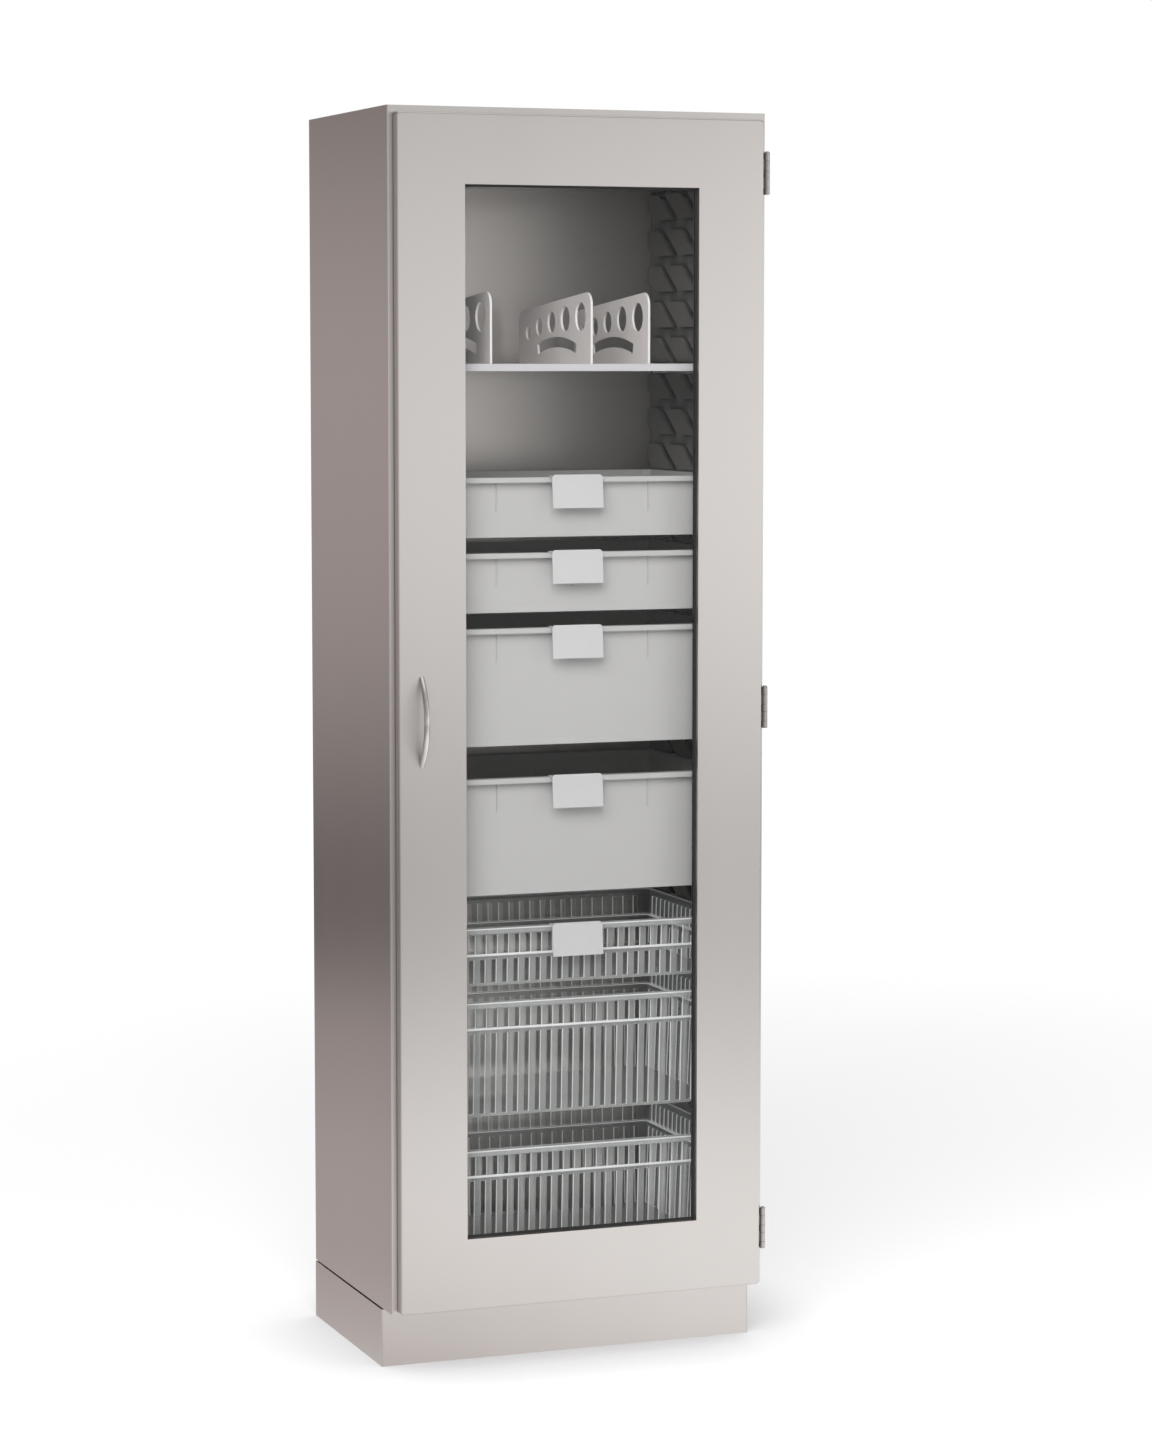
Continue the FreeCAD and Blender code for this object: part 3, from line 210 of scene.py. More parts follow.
def satin_sheet(name, look, metal, roughness):
    """Stainless sheet with a fine upright grain and faint clouds from the rolling."""
    finish = new_finish(name)
    grain = finish.noise(SHEET_GRAIN, detail=4, roughness=0.6)
    clouds = finish.noise(SHEET_CLOUDS, detail=2)
    tone = finish.blend(
        grain * 0.45 + clouds * 0.55, shade(look.steel_tone, 0.93), shade(look.steel_tone, 1.06))
    return finish.surface(finish.principled(
        Base_Color=tone,
        Metallic=metal,
        Roughness=roughness + 0.08 * (grain - 0.5) + 0.04 * (clouds - 0.5),
        Anisotropic=0.8,
        Normal=finish.relief(grain, depth=0.02, strength=0.25),
    ))


def polished_bar(name, tone):
    """Turned and drawn stainless with a tight grain and faint wear."""
    finish = new_finish(name)
    grain = finish.noise(BAR_GRAIN)
    wear = finish.noise(BAR_WEAR)
    return finish.surface(finish.principled(
        Base_Color=finish.blend(wear, shade(tone, 0.92), shade(tone, 1.04)),
        Metallic=0.95,
        Roughness=0.26 + 0.10 * (grain - 0.5),
        Normal=finish.relief(grain, depth=0.01, strength=0.3),
    ))


def zinc_plate(tone):
    """Zinc-plated steel with its fine spangle."""
    finish = new_finish("zinc_plated_steel")
    spangle = finish.node("ShaderNodeTexVoronoi", values={
        "Vector": finish.place(ZINC_SPANGLE), "Scale": 1.0,
    })
    haze = finish.noise(ZINC_HAZE)
    return finish.surface(finish.principled(
        Base_Color=finish.blend(spangle * 0.6 + haze * 0.4, shade(tone, 0.85), shade(tone, 1.05)),
        Metallic=0.85,
        Roughness=0.38 + 0.18 * spangle,
    ))


def moulded(name, tone, roughness, pebble=MOULD_PEBBLE, variation=0.04, gloss=0.5, painted_groove_shade=0):
    """Moulded plastic with a pebbled skin and slight flow; where asked, shade is painted into grooves up to
    the given width in mm.
    """
    finish = new_finish(name)
    skin = finish.noise((pebble, pebble, pebble), detail=2)
    flow = finish.noise(MOULD_FLOW)
    colour = finish.blend(flow, shade(tone, 1 - variation), shade(tone, 1 + variation))
    # painted shade: the colour darkens where the ambient occlusion finds a groove or corner close by
    if painted_groove_shade:
        groove_openness = finish.openness(painted_groove_shade * MM)
        light = finish.node("ShaderNodeMapRange", values={
            "Value": groove_openness, "From Min": GROOVE_SHADE_SHUT, "From Max": GROOVE_SHADE_OPEN,
            "To Min": GROOVE_SHADE_TONE, "To Max": 1.0,
        })
        colour = finish.node("ShaderNodeVectorMath", {"operation": "SCALE"}, {0: colour, "Scale": light})
    return finish.surface(finish.principled(
        Base_Color=colour,
        Roughness=roughness + 0.12 * (skin - 0.5),
        Specular_IOR_Level=gloss,
        Normal=finish.relief(skin, depth=0.03, strength=0.5),
    ))


def clear_moulding(name, tone, hides, painted_glow=0.0):
    """Clear plastic: it veils what lies behind it, its faces catch the light at a low angle, and where asked
    it has a painted glow.
    """
    finish = new_finish(name)
    skin = finish.noise(CLEAR_SKIN, detail=2)
    flow = finish.noise(CLEAR_FLOW)
    low_angle = finish.node("ShaderNodeFresnel", values={"IOR": CLEAR_INDEX})
    body = finish.principled(
        Base_Color=finish.blend(flow, shade(tone, 0.92), shade(tone, 1.05)),
        Roughness=0.12 + 0.10 * flow,
        Normal=finish.relief(skin, depth=0.05, strength=0.4),
        IOR=CLEAR_INDEX,
        # painted glow: where asked, the body emits light though it is no lamp
        Emission_Color=finish.blend(flow, shade(tone, 0.9), tone),
        Emission_Strength=painted_glow,
    )
    gap = finish.node("ShaderNodeBsdfTransparent", values={"Color": (0.97, 0.98, 0.98, 1)})
    from_behind = finish.node("ShaderNodeNewGeometry", out="Backfacing")
    veil = hides * (1 - CLEAR_FADE * from_behind) + CLEAR_DRIFT * (flow - 0.5) + CLEAR_GLEAM * low_angle
    return finish.surface(finish.node("ShaderNodeMixShader", values={0: veil, 1: gap, 2: body}))


def safety_glass():
    """Clear float glass: see-through, with a mirror-like skin that grows at a low angle."""
    finish = new_finish("clear_safety_glass")
    haze = finish.noise(GLASS_HAZE, detail=2)
    skin = finish.principled(
        Base_Color=finish.blend(haze, (0.90, 0.93, 0.92), (0.96, 0.98, 0.97)),
        Metallic=1.0,
        Roughness=0.02 + 0.02 * haze,
    )
    gap = finish.node("ShaderNodeBsdfTransparent", values={"Color": (0.985, 0.985, 0.985, 1)})
    mirror = GLASS_GLEAM * finish.node("ShaderNodeFresnel", values={"IOR": GLASS_INDEX})
    return finish.surface(finish.node("ShaderNodeMixShader", values={0: mirror, 1: gap, 2: skin}))


def soft_rubber():
    """Black glazing rubber with a dusty bloom."""
    finish = new_finish("black_rubber")
    bloom = finish.noise(RUBBER_BLOOM, detail=4)
    return finish.surface(finish.principled(
        Base_Color=finish.blend(bloom, (0.016, 0.016, 0.017), (0.04, 0.04, 0.04)),
        Roughness=0.6 + 0.2 * bloom,
        Normal=finish.relief(bloom, depth=0.05, strength=0.4),
    ))


# ---------------------------------------------------------------- carried-over pieces

WELD_GAP = 0.002 * MM
# edges that turn less than the first are shaded smooth, and those that turn more than the second are softened
SMOOTH_BELOW, SOFTEN_ABOVE = math.radians(28), math.radians(40)


def soft_edge_group():
    """A node group that shades a mesh smooth except across its sharp edges."""
    name = "shade_by_angle"
    if name in bpy.data.node_groups:
        return bpy.data.node_groups[name]
    group = bpy.data.node_groups.new(name, "GeometryNodeTree")
    for way in ("INPUT", "OUTPUT"):
        group.interface.new_socket("Geometry", in_out=way, socket_type="NodeSocketGeometry")
    graph = Graph(group)
    entry = graph.node("NodeGroupInput")
    welded = graph.node("GeometryNodeMergeByDistance", values={"Geometry": entry, "Distance": WELD_GAP})
    faces = graph.node("GeometryNodeSetShadeSmooth", {"domain": "FACE"}, {"Geometry": welded})
    angle = graph.node("GeometryNodeInputMeshEdgeAngle", out="Unsigned Angle")
    soft = graph.node("FunctionNodeCompare", {"data_type": "FLOAT", "operation": "LESS_THAN"}, {
        0: angle, 1: SMOOTH_BELOW,
    })
    edges = graph.node("GeometryNodeSetShadeSmooth", {"domain": "EDGE"}, {
        "Geometry": faces, "Shade Smooth": soft,
    })
    graph.node("NodeGroupOutput", values={"Geometry": edges})
    return group


def dress(name, material, edge=0):
    """Gives a CAD node its material, smooth shading and, where asked, softened edges of a width in mm."""
    piece = NODES[name]
    piece.data.materials.clear()
    piece.data.materials.append(material)
    if edge:
        weld = piece.modifiers.new("weld", "WELD")
        weld.merge_threshold = WELD_GAP
        bevel = piece.modifiers.new("soft_edges", "BEVEL")
        bevel.width = edge * MM
        bevel.segments = 2
        bevel.limit_method = "ANGLE"
        bevel.angle_limit = SOFTEN_ABOVE
        bevel.use_clamp_overlap = True
    shading = piece.modifiers.new("shading", "NODES")
    shading.node_group = soft_edge_group()
    flat = piece.modifiers.new("flat_faces", "WEIGHTED_NORMAL")
    flat.weight = 100
    flat.keep_sharp = True


def new_piece(name, form, body, materials):
    """A piece of the scene's own from a finished bmesh; it rides on a body."""
    bmesh.ops.recalc_face_normals(form, faces=form.faces)
    mesh = bpy.data.meshes.new(name)
    form.to_mesh(mesh)
    form.free()
    for material in materials:
        mesh.materials.append(material)
    piece = bpy.data.objects.new(name, mesh)
    bpy.context.scene.collection.objects.link(piece)
    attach(piece, body)
    return piece


def ending(*words):
    """The CAD nodes whose names end in one of these words, in order."""
    return sorted(name for name in NODES if name.endswith(words))


def beginning(word):
    """The CAD nodes whose names begin with this word, in order."""
    return sorted(name for name in NODES if name.startswith(word))


# ---------------------------------------------------------------- slotted baskets

ARC_STEPS, ROUND_STEPS = 6, 3

# how far the wall leans in as it goes down, above and below its ledge
LEAN, LOWER_LEAN = math.tan(math.radians(1.6)), math.tan(math.radians(2.5))

# sizes in mm; the heights are drops from the top of the rim
RIM_CORNER, RIM_PLATE, RIM_LIP, RIM_LIP_WALL, RIM_ROUND = 9, 2.6, 8.6, 2.4, 1.8
RUNNER_DROP, RUNNER_END = 17.5, 26
WALL_CORNER, WALL_TOP, BASKET_FLOOR = 18, 0.2, 3.0
RIM_OVER_SIDES, RIM_OVER_ENDS = 12, 15
SLOT_END, SLOT_TOP, SLOT_FOOT, SLOT_DRAFT = 22, 12.6, 4.5, 0.9
LEDGE, LEDGE_STEP, BAND_TOP, BAND_FOOT = 47.5, 5.2, 45.5, 56
BEAD_INSET, BEAD_HIGH, BEAD_LOW, BEAD_FOOT = 0.2, 46.3, 48.6, 49.3

# places of a basket's three materials: the outside, the edges, which are painted lighter and given a painted
# glow as a painted highlight, and the inside
OUTSIDE, HIGHLIT_EDGES, INSIDE = range(3)


def in_mm(metres):
    """A size of the frame or the settings in mm, to the nearest thousandth."""
    return round(metres / MM, 3)


def heading(degrees):
    """The way in plan at an angle from the right, anticlockwise."""
    return Vector((math.cos(math.radians(degrees)), math.sin(math.radians(degrees))))


def arc_headings(start):
    """The headings along a quarter turn."""
    return [heading(start + 90 * step / ARC_STEPS) for step in range(ARC_STEPS + 1)]


class Outline(NamedTuple):
    """A rounded rectangle in plan: half its width, the places of its front and back, and its radius."""
    half: float
    front: float
    back: float
    corner: float

    def corners(self):
        """The corner arcs, anticlockwise from the front right: each centre and first heading."""
        right = self.half - self.corner
        front, back = self.front + self.corner, self.back - self.corner
        return [
            (Vector((right, front)), -90), (Vector((right, back)), 0),
            (Vector((-right, back)), 90), (Vector((-right, front)), 180),
        ]


class Station(NamedTuple):
    """A place round the wall: a point inside, the way out from it, whether a slot follows, and its draft."""
    anchor: Vector
    out: Vector
    slot_follows: bool
    draft: Vector


class Level(NamedTuple):
    """A level of the wall, outside and inside, and what follows below it: slots or not, and the finishes."""
    drop: float
    inset: float
    inner_drop: float
    inner_inset: float
    slotted: bool = False
    finish: int = OUTSIDE
    inner_finish: int = INSIDE


class Basket:
    """The form of one slotted basket, fitted to the box of its CAD node."""

    def __init__(self, name, sizes):
        low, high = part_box(name)
        half, front, back = in_mm(high.x), in_mm(low.y), in_mm(high.y)
        self.form = bmesh.new()
        self.top = in_mm(high.z)
        self.depth = self.top - in_mm(low.z)
        self.gauge = in_mm(sizes.gauge)
        self.slot_pitch, self.slot_width = in_mm(sizes.slot_pitch), in_mm(sizes.slot_width)
        self.rim = Outline(half, front, back, RIM_CORNER)
        self.wall = Outline(
            half - RIM_OVER_SIDES, front + RIM_OVER_ENDS, back - RIM_OVER_ENDS, WALL_CORNER)

    def point(self, x, y, drop):
        return self.form.verts.new((x * MM, y * MM, (self.top - drop) * MM))

    def face(self, corners, finish=OUTSIDE):
        self.form.faces.new(corners).material_index = finish

    def stations(self):
        """The places round the wall: each corner's steps, then both sides of each slot of the next run."""
        stations = []
        corners = self.wall.corners()
        for index, (centre, start) in enumerate(corners):
            stations += [Station(centre, out, False, Vector((0, 0))) for out in arc_headings(start)]
            run = corners[(index + 1) % len(corners)][0] - centre
            along, out = run.normalized(), heading(start + 90)
            room = run.length + 2 * (self.wall.corner - SLOT_END)
            count = int(room // self.slot_pitch) + 1
            first = (run.length - self.slot_pitch * (count - 1) - self.slot_width) / 2
            for slot in range(count):
                left = first + slot * self.slot_pitch
                right = left + self.slot_width
                stations.append(Station(centre + along * left, out, True, along * SLOT_DRAFT))
                stations.append(Station(centre + along * right, out, False, along * -SLOT_DRAFT))
        return stations

    def levels(self):
        """The levels down the wall: slots, a bead with a ledge inside it, slots again, and the foot."""
        gauge, depth = self.gauge, self.depth
        upper = LEDGE * LEAN
        lower = upper + LEDGE_STEP

        def even(drop, slotted=False):
            inset = drop * LEAN if drop < LEDGE else lower + (drop - LEDGE) * LOWER_LEAN
            return Level(drop, inset, drop, inset + gauge, slotted)

        return [
            even(WALL_TOP),
            even(SLOT_TOP, slotted=True),
            # the band round the bead, the bead and the ledge take the edges' painted highlight
            Level(BAND_TOP, upper, BAND_TOP, upper + gauge, finish=HIGHLIT_EDGES),
            Level(BEAD_HIGH, BEAD_INSET, BEAD_HIGH, upper + gauge, finish=HIGHLIT_EDGES),
            Level(BEAD_LOW, BEAD_INSET, LEDGE, upper + gauge, finish=HIGHLIT_EDGES, inner_finish=HIGHLIT_EDGES),
            Level(BEAD_FOOT, upper, LEDGE, lower + gauge),
            Level(LEDGE + gauge, upper, BEAD_FOOT, lower + gauge),
            Level(LEDGE + gauge, lower, LEDGE + gauge, lower + gauge),
            even(BAND_FOOT, slotted=True),
            even(depth - SLOT_FOOT),
            even(depth)._replace(inner_drop=depth - BASKET_FLOOR),
        ]

    def add_walls(self):
        """Slotted walls of an even gauge with a bead outside, a ledge inside and a floor."""
        stations, levels = self.stations(), self.levels()
        around, down = len(stations), len(levels) - 1

        def ring(drop, inset, drafted):
            points = []
            for station in stations:
                place = station.anchor + station.out * (self.wall.corner - inset)
                if drafted:
                    place += station.draft
                points.append(self.point(place.x, place.y, drop))
            return points

        outside = [ring(level.drop, level.inset, False) for level in levels]
        inside = [ring(level.inner_drop, level.inner_inset, True) for level in levels]

        def solid(row, column):
            return 0 <= row < down and not (levels[row].slotted and stations[column % around].slot_follows)

        for row in range(down):
            for column in range(around):
                if not solid(row, column):
                    continue
                after = (column + 1) % around
                loop = [(row, column), (row, after), (row + 1, after), (row + 1, column)]
                self.face([outside[i][j] for i, j in loop], levels[row].finish)
                self.face([inside[i][j] for i, j in loop], levels[row].inner_finish)
                beside = [(row - 1, column), (row, column + 1), (row + 1, column), (row, column - 1)]
                for side, neighbour in enumerate(beside):
                    if not solid(*neighbour) and neighbour[0] < down:
                        (i, j), (k, m) = loop[side], loop[(side + 1) % 4]
                        # the cut sides of the slots take the edges' painted highlight
                        self.face([outside[i][j], outside[k][m], inside[k][m], inside[i][j]], HIGHLIT_EDGES)
        self.face(outside[-1])
        self.face(inside[-1], INSIDE)

    def add_rim(self):
        """A flat rim with a rounded edge and a turned-down lip."""
        section = [(self.wall, self.gauge / 2, RIM_PLATE), (self.wall, self.gauge / 2, 0)]
        for step in range(ROUND_STEPS + 1):
            turn = math.radians(90 * step / ROUND_STEPS)
            section.append((self.rim, RIM_ROUND * (1 - math.sin(turn)), RIM_ROUND * (1 - math.cos(turn))))
        section += [
            (self.rim, 0, RIM_LIP), (self.rim, RIM_LIP_WALL, RIM_LIP), (self.rim, RIM_LIP_WALL, RIM_PLATE),
        ]
        rings = []
        for outline, inset, drop in section:
            places = [centre + out * (outline.corner - inset)
                      for centre, start in outline.corners() for out in arc_headings(start)]
            rings.append([self.point(place.x, place.y, drop) for place in places])
        count = len(rings[0])
        for level, (upper, lower) in enumerate(zip(rings, rings[1:] + rings[:1])):
            # the rounded edge of the rim takes the edges' painted highlight
            finish = HIGHLIT_EDGES if 1 < level < 2 + ROUND_STEPS else OUTSIDE
            for column in range(count):
                after = (column + 1) % count
                self.face((upper[column], upper[after], lower[after], lower[column]), finish)

    def add_runner(self, hand):
        """A runner under the lip of one side, on the left for -1 and on the right for 1."""
        inner, outer = self.rim.half - RIM_LIP_WALL, self.rim.half
        front, back = self.rim.front + RUNNER_END, self.rim.back - RUNNER_END
        plan = [(hand * x, y) for x, y in ((inner, front), (outer, front), (outer, back), (inner, back))]
        high, low = ([self.point(x, y, drop) for x, y in plan] for drop in (RIM_LIP, RUNNER_DROP))
        self.face(low)
        self.face(high)
        for side in range(4):
            after = (side + 1) % 4
            self.face((high[side], high[after], low[after], low[side]))


# ---------------------------------------------------------------- settings

def colour_setting(name, description, default):
    return bpy.props.FloatVectorProperty(
        name=name, description=description, default=default, size=3, min=0, max=1, subtype="COLOR")


def level_setting(name, description, default):
    return bpy.props.FloatProperty(
        name=name, description=description, default=default, min=0, max=1, subtype="FACTOR")


def size_setting(name, description, default, least):
    return bpy.props.FloatProperty(
        name=name, description=description, default=default, min=least, subtype="DISTANCE", unit="LENGTH")


class CabinetFinishes(bpy.types.PropertyGroup):
    """Colours and finishes of the cabinet."""
    steel_tone: colour_setting("Sheet steel", "Colour of the case, door and plinth", (0.56, 0.535, 0.515))
    steel_metal: level_setting("Sheet metallic", "How metallic the sheet looks", 0.95)
    steel_roughness: level_setting("Sheet roughness", "Roughness of the brushed sheet", 0.32)
    liner_metal: level_setting("Liner metallic", "How metallic the dull sheet inside looks", 0.95)
    liner_roughness: level_setting("Liner roughness", "Roughness of the dull sheet inside", 0.34)
    bar_tone: colour_setting("Bar steel", "Colour of the handle and its screws", (0.62, 0.60, 0.58))
    hinge_tone: colour_setting("Hinge steel", "Colour of the hinges and their pins", (0.40, 0.38, 0.365))
    zinc_tone: colour_setting("Zinc", "Colour of the uprights, base frame and strikes", (0.42, 0.43, 0.44))
    rack_tone: colour_setting("Racks", "Colour of the moulded racks", (0.19, 0.182, 0.175))
    tray_tone: colour_setting("Trays", "Colour of the opaque trays", (0.575, 0.57, 0.56))
    clear_tone: colour_setting("Baskets", "Tint of the clear baskets", (0.78, 0.79, 0.77))
    clear_veil: level_setting("Basket veil", "How much a clear wall hides", 0.34)
    # the basket edges: a lighter tone and a glow that is no lamp, together a painted highlight
    edge_highlight_tone: colour_setting("Basket edges", "Tone of the cut edges of the clear walls", (0.88, 0.89, 0.89))
    edge_veil: level_setting("Edge veil", "How much the cut edges hide", 0.7)
    edge_painted_glow: level_setting("Edge glow", "How much light the cut edges pass on", 0.30)
    inner_veil: level_setting("Inner veil", "How much the inner faces of the clear walls hide", 0.05)
    label_tone: colour_setting("Label holders", "Colour of the label holders", (0.66, 0.66, 0.66))
    shelf_tone: colour_setting("Shelf", "Colour of the shelf", (0.64, 0.63, 0.64))
    divider_tone: colour_setting("Dividers", "Colour of the shelf dividers", (0.90, 0.86, 0.84))
    catch_tone: colour_setting("Catches", "Colour of the magnetic catches", (0.55, 0.55, 0.54))


class BasketSizes(bpy.types.PropertyGroup):
    """Sizes of the slotted baskets."""
    gauge: size_setting("Wall", "Thickness of the basket's wall", 2.6 * MM, 1 * MM)
    slot_pitch: size_setting("Slot pitch", "From one slot to the next", 20 * MM, 12 * MM)
    slot_width: size_setting("Slot width", "Width of a slot", 9.5 * MM, 3 * MM)


class CabinetStudio(bpy.types.PropertyGroup):
    """Floor, lamps and camera."""
    floor_tone: colour_setting("Floor", "Colour of the studio floor", (0.80, 0.80, 0.82))
    floor_glow: level_setting("Floor white", "How far the floor is lifted to white round the cabinet", 0.48)
    key_power: bpy.props.FloatProperty(
        name="Key lamp", description="Power of the large front lamp", default=245, min=0, unit="POWER")
    fill_power: bpy.props.FloatProperty(
        name="Fill lamp", description="Power of the tall lamp on the hinge side", default=8, min=0,
        unit="POWER")
    sky_level: level_setting("Room light", "Even light from all round", 0.42)
    rear_tone: colour_setting(
        "Rear room", "Tone of the room that metal mirrors behind the cabinet", (0.465, 0.405, 0.40))
    lens: bpy.props.FloatProperty(
        name="Lens", description="Focal length on a 36 mm sensor", default=97.8, min=10, unit="CAMERA")
    camera_place: bpy.props.FloatVectorProperty(
        name="Camera", description="Where the camera stands", default=(-2.323, -6.3538, 1.7085),
        subtype="TRANSLATION", unit="LENGTH")
    camera_turn: bpy.props.FloatProperty(
        name="Turn", description="Camera turned from straight ahead", default=math.radians(-20.62),
        subtype="ANGLE", unit="ROTATION")
    camera_tilt: bpy.props.FloatProperty(
        name="Tilt", description="Camera tilted up from level", default=math.radians(-5.25),
        subtype="ANGLE", unit="ROTATION")


# ---------------------------------------------------------------- operators

class DressCase(bpy.types.Operator):
    """Finish the case, its plinth and the metal behind its racks"""
    bl_idname = "cabinet.dress_case"
    bl_label = "Case and plinth"
    bl_options = {"REGISTER", "UNDO"}

    def execute(self, context):
        look = context.scene.cabinet_finishes
        sheet = satin_sheet("satin_stainless_sheet", look, look.steel_metal, look.steel_roughness)
        liner = satin_sheet("dull_stainless_sheet", look, look.liner_metal, look.liner_roughness)
        zinc = zinc_plate(look.zinc_tone)
        for name in ending("side_panel", "top_panel", "floor_pan"):
            dress(name, sheet)
        for name in ("back_panel", "ceiling_panel"):
            dress(name, liner)
        for name in beginning("plinth"):
            dress(name, sheet, edge=0.4)
        for name in ending("upright", "base_frame"):
            dress(name, zinc)
        return {"FINISHED"}


class DressDoor(bpy.types.Operator):
    """Finish the door's pans, its glass and the seal round it"""
    bl_idname = "cabinet.dress_door"
    bl_label = "Door"
    bl_options = {"REGISTER", "UNDO"}

    def execute(self, context):
        sheet = bpy.data.materials["satin_stainless_sheet"]
        dress("door_front_pan", sheet)
        dress("door_back_pan", sheet)
        dress("door_glass", safety_glass())
        rubber = soft_rubber()
        dress("glazing_seal", rubber)
        dress("door_buffers", rubber)
        return {"FINISHED"}


class DressFittings(bpy.types.Operator):
    """Finish the handle, hinges, catches and strikes"""
    bl_idname = "cabinet.dress_fittings"
    bl_label = "Handle, hinges and catches"
    bl_options = {"REGISTER", "UNDO"}

    def execute(self, context):
        look = context.scene.cabinet_finishes
        bar = polished_bar("satin_stainless_bar", look.bar_tone)
        for name in ("handle", "handle_screws"):
            dress(name, bar)
        drawn = polished_bar("drawn_hinge_steel", look.hinge_tone)
        for name in ending("case_leaf", "door_leaf", "hinge_pin"):
            dress(name, drawn, edge=0.7)
        catch = moulded("catch_plastic", look.catch_tone, 0.5)
        for name in ending("_catch"):
            dress(name, catch, edge=0.8)
        for name in ending("_strike"):
            dress(name, bpy.data.materials["zinc_plated_steel"])
        return {"FINISHED"}


class DressRacks(bpy.types.Operator):
    """Finish the moulded racks on both sides"""
    bl_idname = "cabinet.dress_racks"
    bl_label = "Racks"
    bl_options = {"REGISTER", "UNDO"}

    def execute(self, context):
        look = context.scene.cabinet_finishes
        # the racks get painted shade in their grooves and corners, up to 18 mm across
        plastic = moulded("rack_plastic", look.rack_tone, 0.5, variation=0.10, gloss=0.2, painted_groove_shade=18)
        for name in ending("_rack"):
            dress(name, plastic, edge=0.8)
        return {"FINISHED"}


class DressTrays(bpy.types.Operator):
    """Finish the opaque trays"""
    bl_idname = "cabinet.dress_trays"
    bl_label = "Trays"
    bl_options = {"REGISTER", "UNDO"}

    def execute(self, context):
        look = context.scene.cabinet_finishes
        plastic = moulded("tray_plastic", look.tray_tone, 0.42, pebble=1200, variation=0.02)
        for name in beginning("tray_"):
            dress(name, plastic)
        return {"FINISHED"}


class MakeBaskets(bpy.types.Operator):
    """Build the clear baskets with slots from the rim to the floor"""
    bl_idname = "cabinet.make_baskets"
    bl_label = "Baskets"
    bl_options = {"REGISTER", "UNDO"}

    def execute(self, context):
        look = context.scene.cabinet_finishes
        clear = clear_moulding("clear_moulded_plastic", look.clear_tone, look.clear_veil)
        # the cut edges: a lighter copy of the clear plastic with a painted glow, a painted highlight
        edges = clear_moulding("clear_plastic_edges_painted_highlight", look.edge_highlight_tone, look.edge_veil, painted_glow=look.edge_painted_glow)
        inner = clear_moulding("clear_plastic_inside", look.clear_tone, look.inner_veil)
        for name in beginning("basket_"):
            shape = Basket(name, context.scene.basket_sizes)
            shape.add_walls()
            shape.add_rim()
            for hand in (-1, 1):
                shape.add_runner(hand)
            basket = new_piece(f"slotted_{name}", shape.form, name, (clear, edges, inner))
            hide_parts(name)
        return {"FINISHED"}


class DressLabels(bpy.types.Operator):
    """Finish the label holders"""
    bl_idname = "cabinet.dress_labels"
    bl_label = "Label holders"
    bl_options = {"REGISTER", "UNDO"}

    def execute(self, context):
        look = context.scene.cabinet_finishes
        plastic = moulded("label_plastic", look.label_tone, 0.28, variation=0.015)
        for name in beginning("label_holder"):
            dress(name, plastic, edge=0.5)
        return {"FINISHED"}


class DressShelf(bpy.types.Operator):
    """Finish the shelf and its dividers"""
    bl_idname = "cabinet.dress_shelf"
    bl_label = "Shelf and dividers"
    bl_options = {"REGISTER", "UNDO"}

    def execute(self, context):
        look = context.scene.cabinet_finishes
        dress("shelf", moulded("shelf_plastic", look.shelf_tone, 0.4, variation=0.02), edge=0.6)
        plate = moulded("divider_plastic", look.divider_tone, 0.38, variation=0.03)
        for name in ending("_divider"):
            dress(name, plate, edge=0.5)
        return {"FINISHED"}


class SetStage(bpy.types.Operator):
    """Lay the floor, set the lamps and place the camera"""
    bl_idname = "cabinet.set_stage"
    bl_label = "Floor, lamps and camera"
    bl_options = {"REGISTER", "UNDO"}

    def execute(self, context):
        studio = context.scene.cabinet_studio
        lay_floor(studio)
        light_room(context.scene, studio)
        hang_lamp("key_lamp", KEY_PLACE, KEY_SIZE, studio.key_power)
        hang_lamp("fill_lamp", FILL_PLACE, FILL_SIZE, studio.fill_power, mirrored=True)
        place_camera(context.scene, studio)
        context.scene.view_settings.view_transform = "Standard"
        return {"FINISHED"}


# ---------------------------------------------------------------- stage

KEY_PLACE, KEY_SIZE = (-2.5, -4.4, 3.9), (4.0, 3.0)
FILL_PLACE, FILL_SIZE = (2.3, -2.7, 1.35), (1.2, 2.6)
LAMP_TARGET = Vector((0, 0, 1.1))

FLOOR_HALF = 30
GLOW_NEAR, GLOW_FAR, FAR_GLOW = 1.0, 6.0, 0.68
# how far the painted contact shadow on the floor reaches from the cabinet
PAINTED_CONTACT_SHADOW_REACH = 0.22
CLIP_END = 200

# the room that metal mirrors: its level by height, from 0 straight down through 0.5 level to 1 straight up
ROOM_BANDS = (
    (0.0, 0.95), (0.30, 1.0), (0.39, 0.80), (0.425, 0.20), (0.445, 0.26), (0.468, 0.68),
    (0.492, 1.0), (0.506, 1.0), (0.518, 0.80), (0.536, 0.40), (0.60, 0.36), (0.85, 0.42), (0.93, 1.0),
)
ROOM_LEVEL = 1.42
ROOM_SIDE, ROOM_TURN = (-0.8, 0.6, 0.0), 0.75
MIRROR_HEIGHT = 0.8
WHITE = (1, 1, 1)


def ray_kinds(finish):
    """Whether a ray shows the backdrop, straight or through glass, and whether it is mirrored by metal."""
    straight, through, mirrored = (
        finish.node("ShaderNodeLightPath", out=kind)
        for kind in ("Is Camera Ray", "Is Transmission Ray", "Is Glossy Ray"))
    return finish.maths("MAXIMUM", straight, through), mirrored


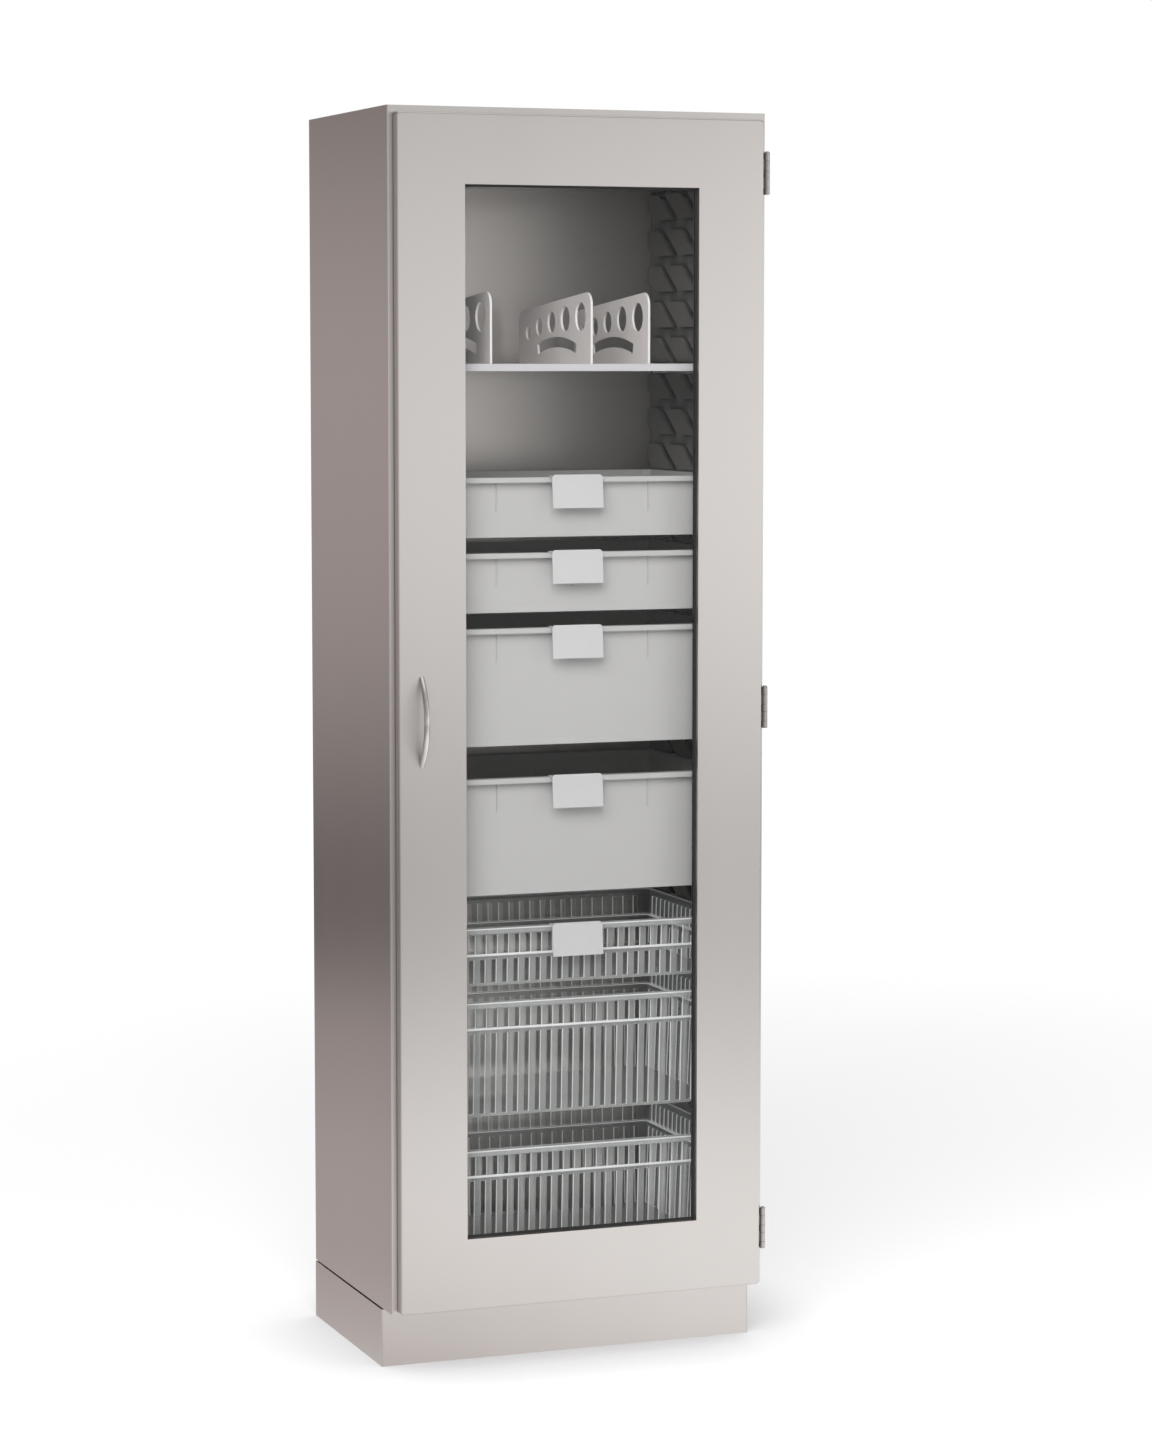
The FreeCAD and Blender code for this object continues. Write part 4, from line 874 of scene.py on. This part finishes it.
def mirrored_room(finish, way, studio):
    """The room by direction: bright along the horizon and underfoot, dimmer and warmer behind the cabinet."""
    height = finish.node("ShaderNodeSeparateXYZ", values={"Vector": way}, out="Z")
    band = finish.node("ShaderNodeValToRGB", {"stops": ROOM_BANDS}, {"Fac": 0.5 + 0.5 * height})
    toward = finish.node("ShaderNodeVectorMath", {"operation": "DOT_PRODUCT"}, {
        0: way, 1: ROOM_SIDE,
    }, out="Value")
    behind = finish.node("ShaderNodeMapRange", values={
        "Value": toward, "From Min": -ROOM_TURN, "From Max": ROOM_TURN,
    })
    tone = finish.blend(behind, WHITE, studio.rear_tone)
    return finish.node("ShaderNodeVectorMath", {"operation": "MULTIPLY"}, {0: tone, 1: band})


def floor_paint(studio):
    """Pale paint that shows white round the cabinet, keeps the shadow the lamps cast, has a painted contact
    shadow round the cabinet's foot and mirrors as the room does.
    """
    finish = new_finish("studio_floor")
    mottle = finish.noise(FLOOR_MOTTLE)
    tone = finish.blend(mottle, shade(studio.floor_tone, 0.99), studio.floor_tone)
    paint = finish.node("ShaderNodeBsdfDiffuse", values={"Color": tone})
    seen, mirrored = ray_kinds(finish)
    away = finish.node("ShaderNodeVectorMath", {"operation": "LENGTH"}, {0: finish.place()}, out="Value")
    lift = finish.node("ShaderNodeMapRange", {"interpolation_type": "SMOOTHSTEP"}, {
        "Value": away, "From Min": GLOW_NEAR, "From Max": GLOW_FAR,
        "To Min": studio.floor_glow, "To Max": FAR_GLOW,
    })
    # painted contact shadow: the white lift is dimmed where the ambient occlusion finds the cabinet close by
    painted_glow = finish.node("ShaderNodeEmission", values={
        "Color": rgba(WHITE), "Strength": lift * seen * finish.openness(PAINTED_CONTACT_SHADOW_REACH),
    })
    lit = finish.node("ShaderNodeAddShader", values={0: paint, 1: painted_glow})
    below = finish.node("ShaderNodeVectorMath", {"operation": "SUBTRACT"}, {
        0: finish.place(), 1: (0, 0, MIRROR_HEIGHT),
    })
    way = finish.node("ShaderNodeVectorMath", {"operation": "NORMALIZE"}, {0: below})
    room = finish.node("ShaderNodeEmission", values={
        "Color": mirrored_room(finish, way, studio), "Strength": ROOM_LEVEL,
    })
    return finish.surface(finish.node("ShaderNodeMixShader", values={0: mirrored, 1: lit, 2: room}))


def lay_floor(studio):
    """A wide pale floor."""
    mesh = bpy.data.meshes.new("studio_floor")
    form = bmesh.new()
    bmesh.ops.create_grid(form, x_segments=1, y_segments=1, size=FLOOR_HALF)
    form.to_mesh(mesh)
    form.free()
    mesh.materials.append(floor_paint(studio))
    floor = bpy.data.objects.new("studio_floor", mesh)
    bpy.context.scene.collection.objects.link(floor)


def light_room(scene, studio):
    """Even room light before a white backdrop, and the room that metal mirrors."""
    scene.world = bpy.data.worlds.new("studio_room")
    finish = Finish(scene.world)
    seen, mirrored = ray_kinds(finish)
    way = finish.node("ShaderNodeTexCoord", out="Generated")
    colour = finish.blend(mirrored, WHITE, mirrored_room(finish, way, studio))
    level = studio.sky_level + seen * (1 - studio.sky_level) + mirrored * (ROOM_LEVEL - studio.sky_level)
    finish.surface(finish.node("ShaderNodeBackground", values={"Color": colour, "Strength": level}))


def hang_lamp(name, place, size, power, mirrored=False):
    """A rectangular soft lamp that faces the middle of the cabinet; metal mirrors it only where asked."""
    lamp = bpy.data.lights.new(name, "AREA")
    lamp.shape = "RECTANGLE"
    lamp.size, lamp.size_y = size
    lamp.energy = power
    holder = bpy.data.objects.new(name, lamp)
    holder.location = place
    holder.rotation_euler = (LAMP_TARGET - Vector(place)).to_track_quat("-Z", "Y").to_euler()
    holder.visible_camera = False
    holder.visible_glossy = mirrored
    bpy.context.scene.collection.objects.link(holder)


def place_camera(scene, studio):
    """The camera, turned about the upright and then tilted."""
    camera = bpy.data.objects.new("camera", bpy.data.cameras.new("camera"))
    camera.data.lens = studio.lens
    camera.data.clip_end = CLIP_END
    turn = Matrix.Rotation(studio.camera_turn, 4, "Z")
    tilt = Matrix.Rotation(math.pi / 2 + studio.camera_tilt, 4, "X")
    camera.matrix_world = Matrix.Translation(studio.camera_place) @ turn @ tilt
    scene.collection.objects.link(camera)
    scene.camera = camera


# ---------------------------------------------------------------- panel and registration

STEPS = (
    DressCase, DressDoor, DressFittings, DressRacks, DressTrays, MakeBaskets, DressLabels, DressShelf,
    SetStage,
)


class CabinetPanel(bpy.types.Panel):
    """Lists the cabinet's settings and steps."""
    bl_idname = "VIEW3D_PT_suture_cabinet"
    bl_label = "Suture cabinet"
    bl_space_type = "VIEW_3D"
    bl_region_type = "UI"
    bl_category = "Cabinet"

    def draw(self, context):
        scene = context.scene
        for settings in (scene.cabinet_finishes, scene.basket_sizes, scene.cabinet_studio):
            box = self.layout.box()
            for name in settings.__annotations__:
                box.prop(settings, name)
        for step in STEPS:
            self.layout.operator(step.bl_idname)


CLASSES = (CabinetFinishes, BasketSizes, CabinetStudio, *STEPS, CabinetPanel)


def register():
    for item in CLASSES:
        bpy.utils.register_class(item)
    bpy.types.Scene.cabinet_finishes = bpy.props.PointerProperty(type=CabinetFinishes)
    bpy.types.Scene.basket_sizes = bpy.props.PointerProperty(type=BasketSizes)
    bpy.types.Scene.cabinet_studio = bpy.props.PointerProperty(type=CabinetStudio)


def unregister():
    del bpy.types.Scene.cabinet_studio
    del bpy.types.Scene.basket_sizes
    del bpy.types.Scene.cabinet_finishes
    for item in reversed(CLASSES):
        bpy.utils.unregister_class(item)


def main():
    register()
    bpy.ops.cabinet.dress_case()
    bpy.ops.cabinet.dress_door()
    bpy.ops.cabinet.dress_fittings()
    bpy.ops.cabinet.dress_racks()
    bpy.ops.cabinet.dress_trays()
    bpy.ops.cabinet.make_baskets()
    bpy.ops.cabinet.dress_labels()
    bpy.ops.cabinet.dress_shelf()
    bpy.ops.cabinet.set_stage()


if __name__ == "__main__":
    main()
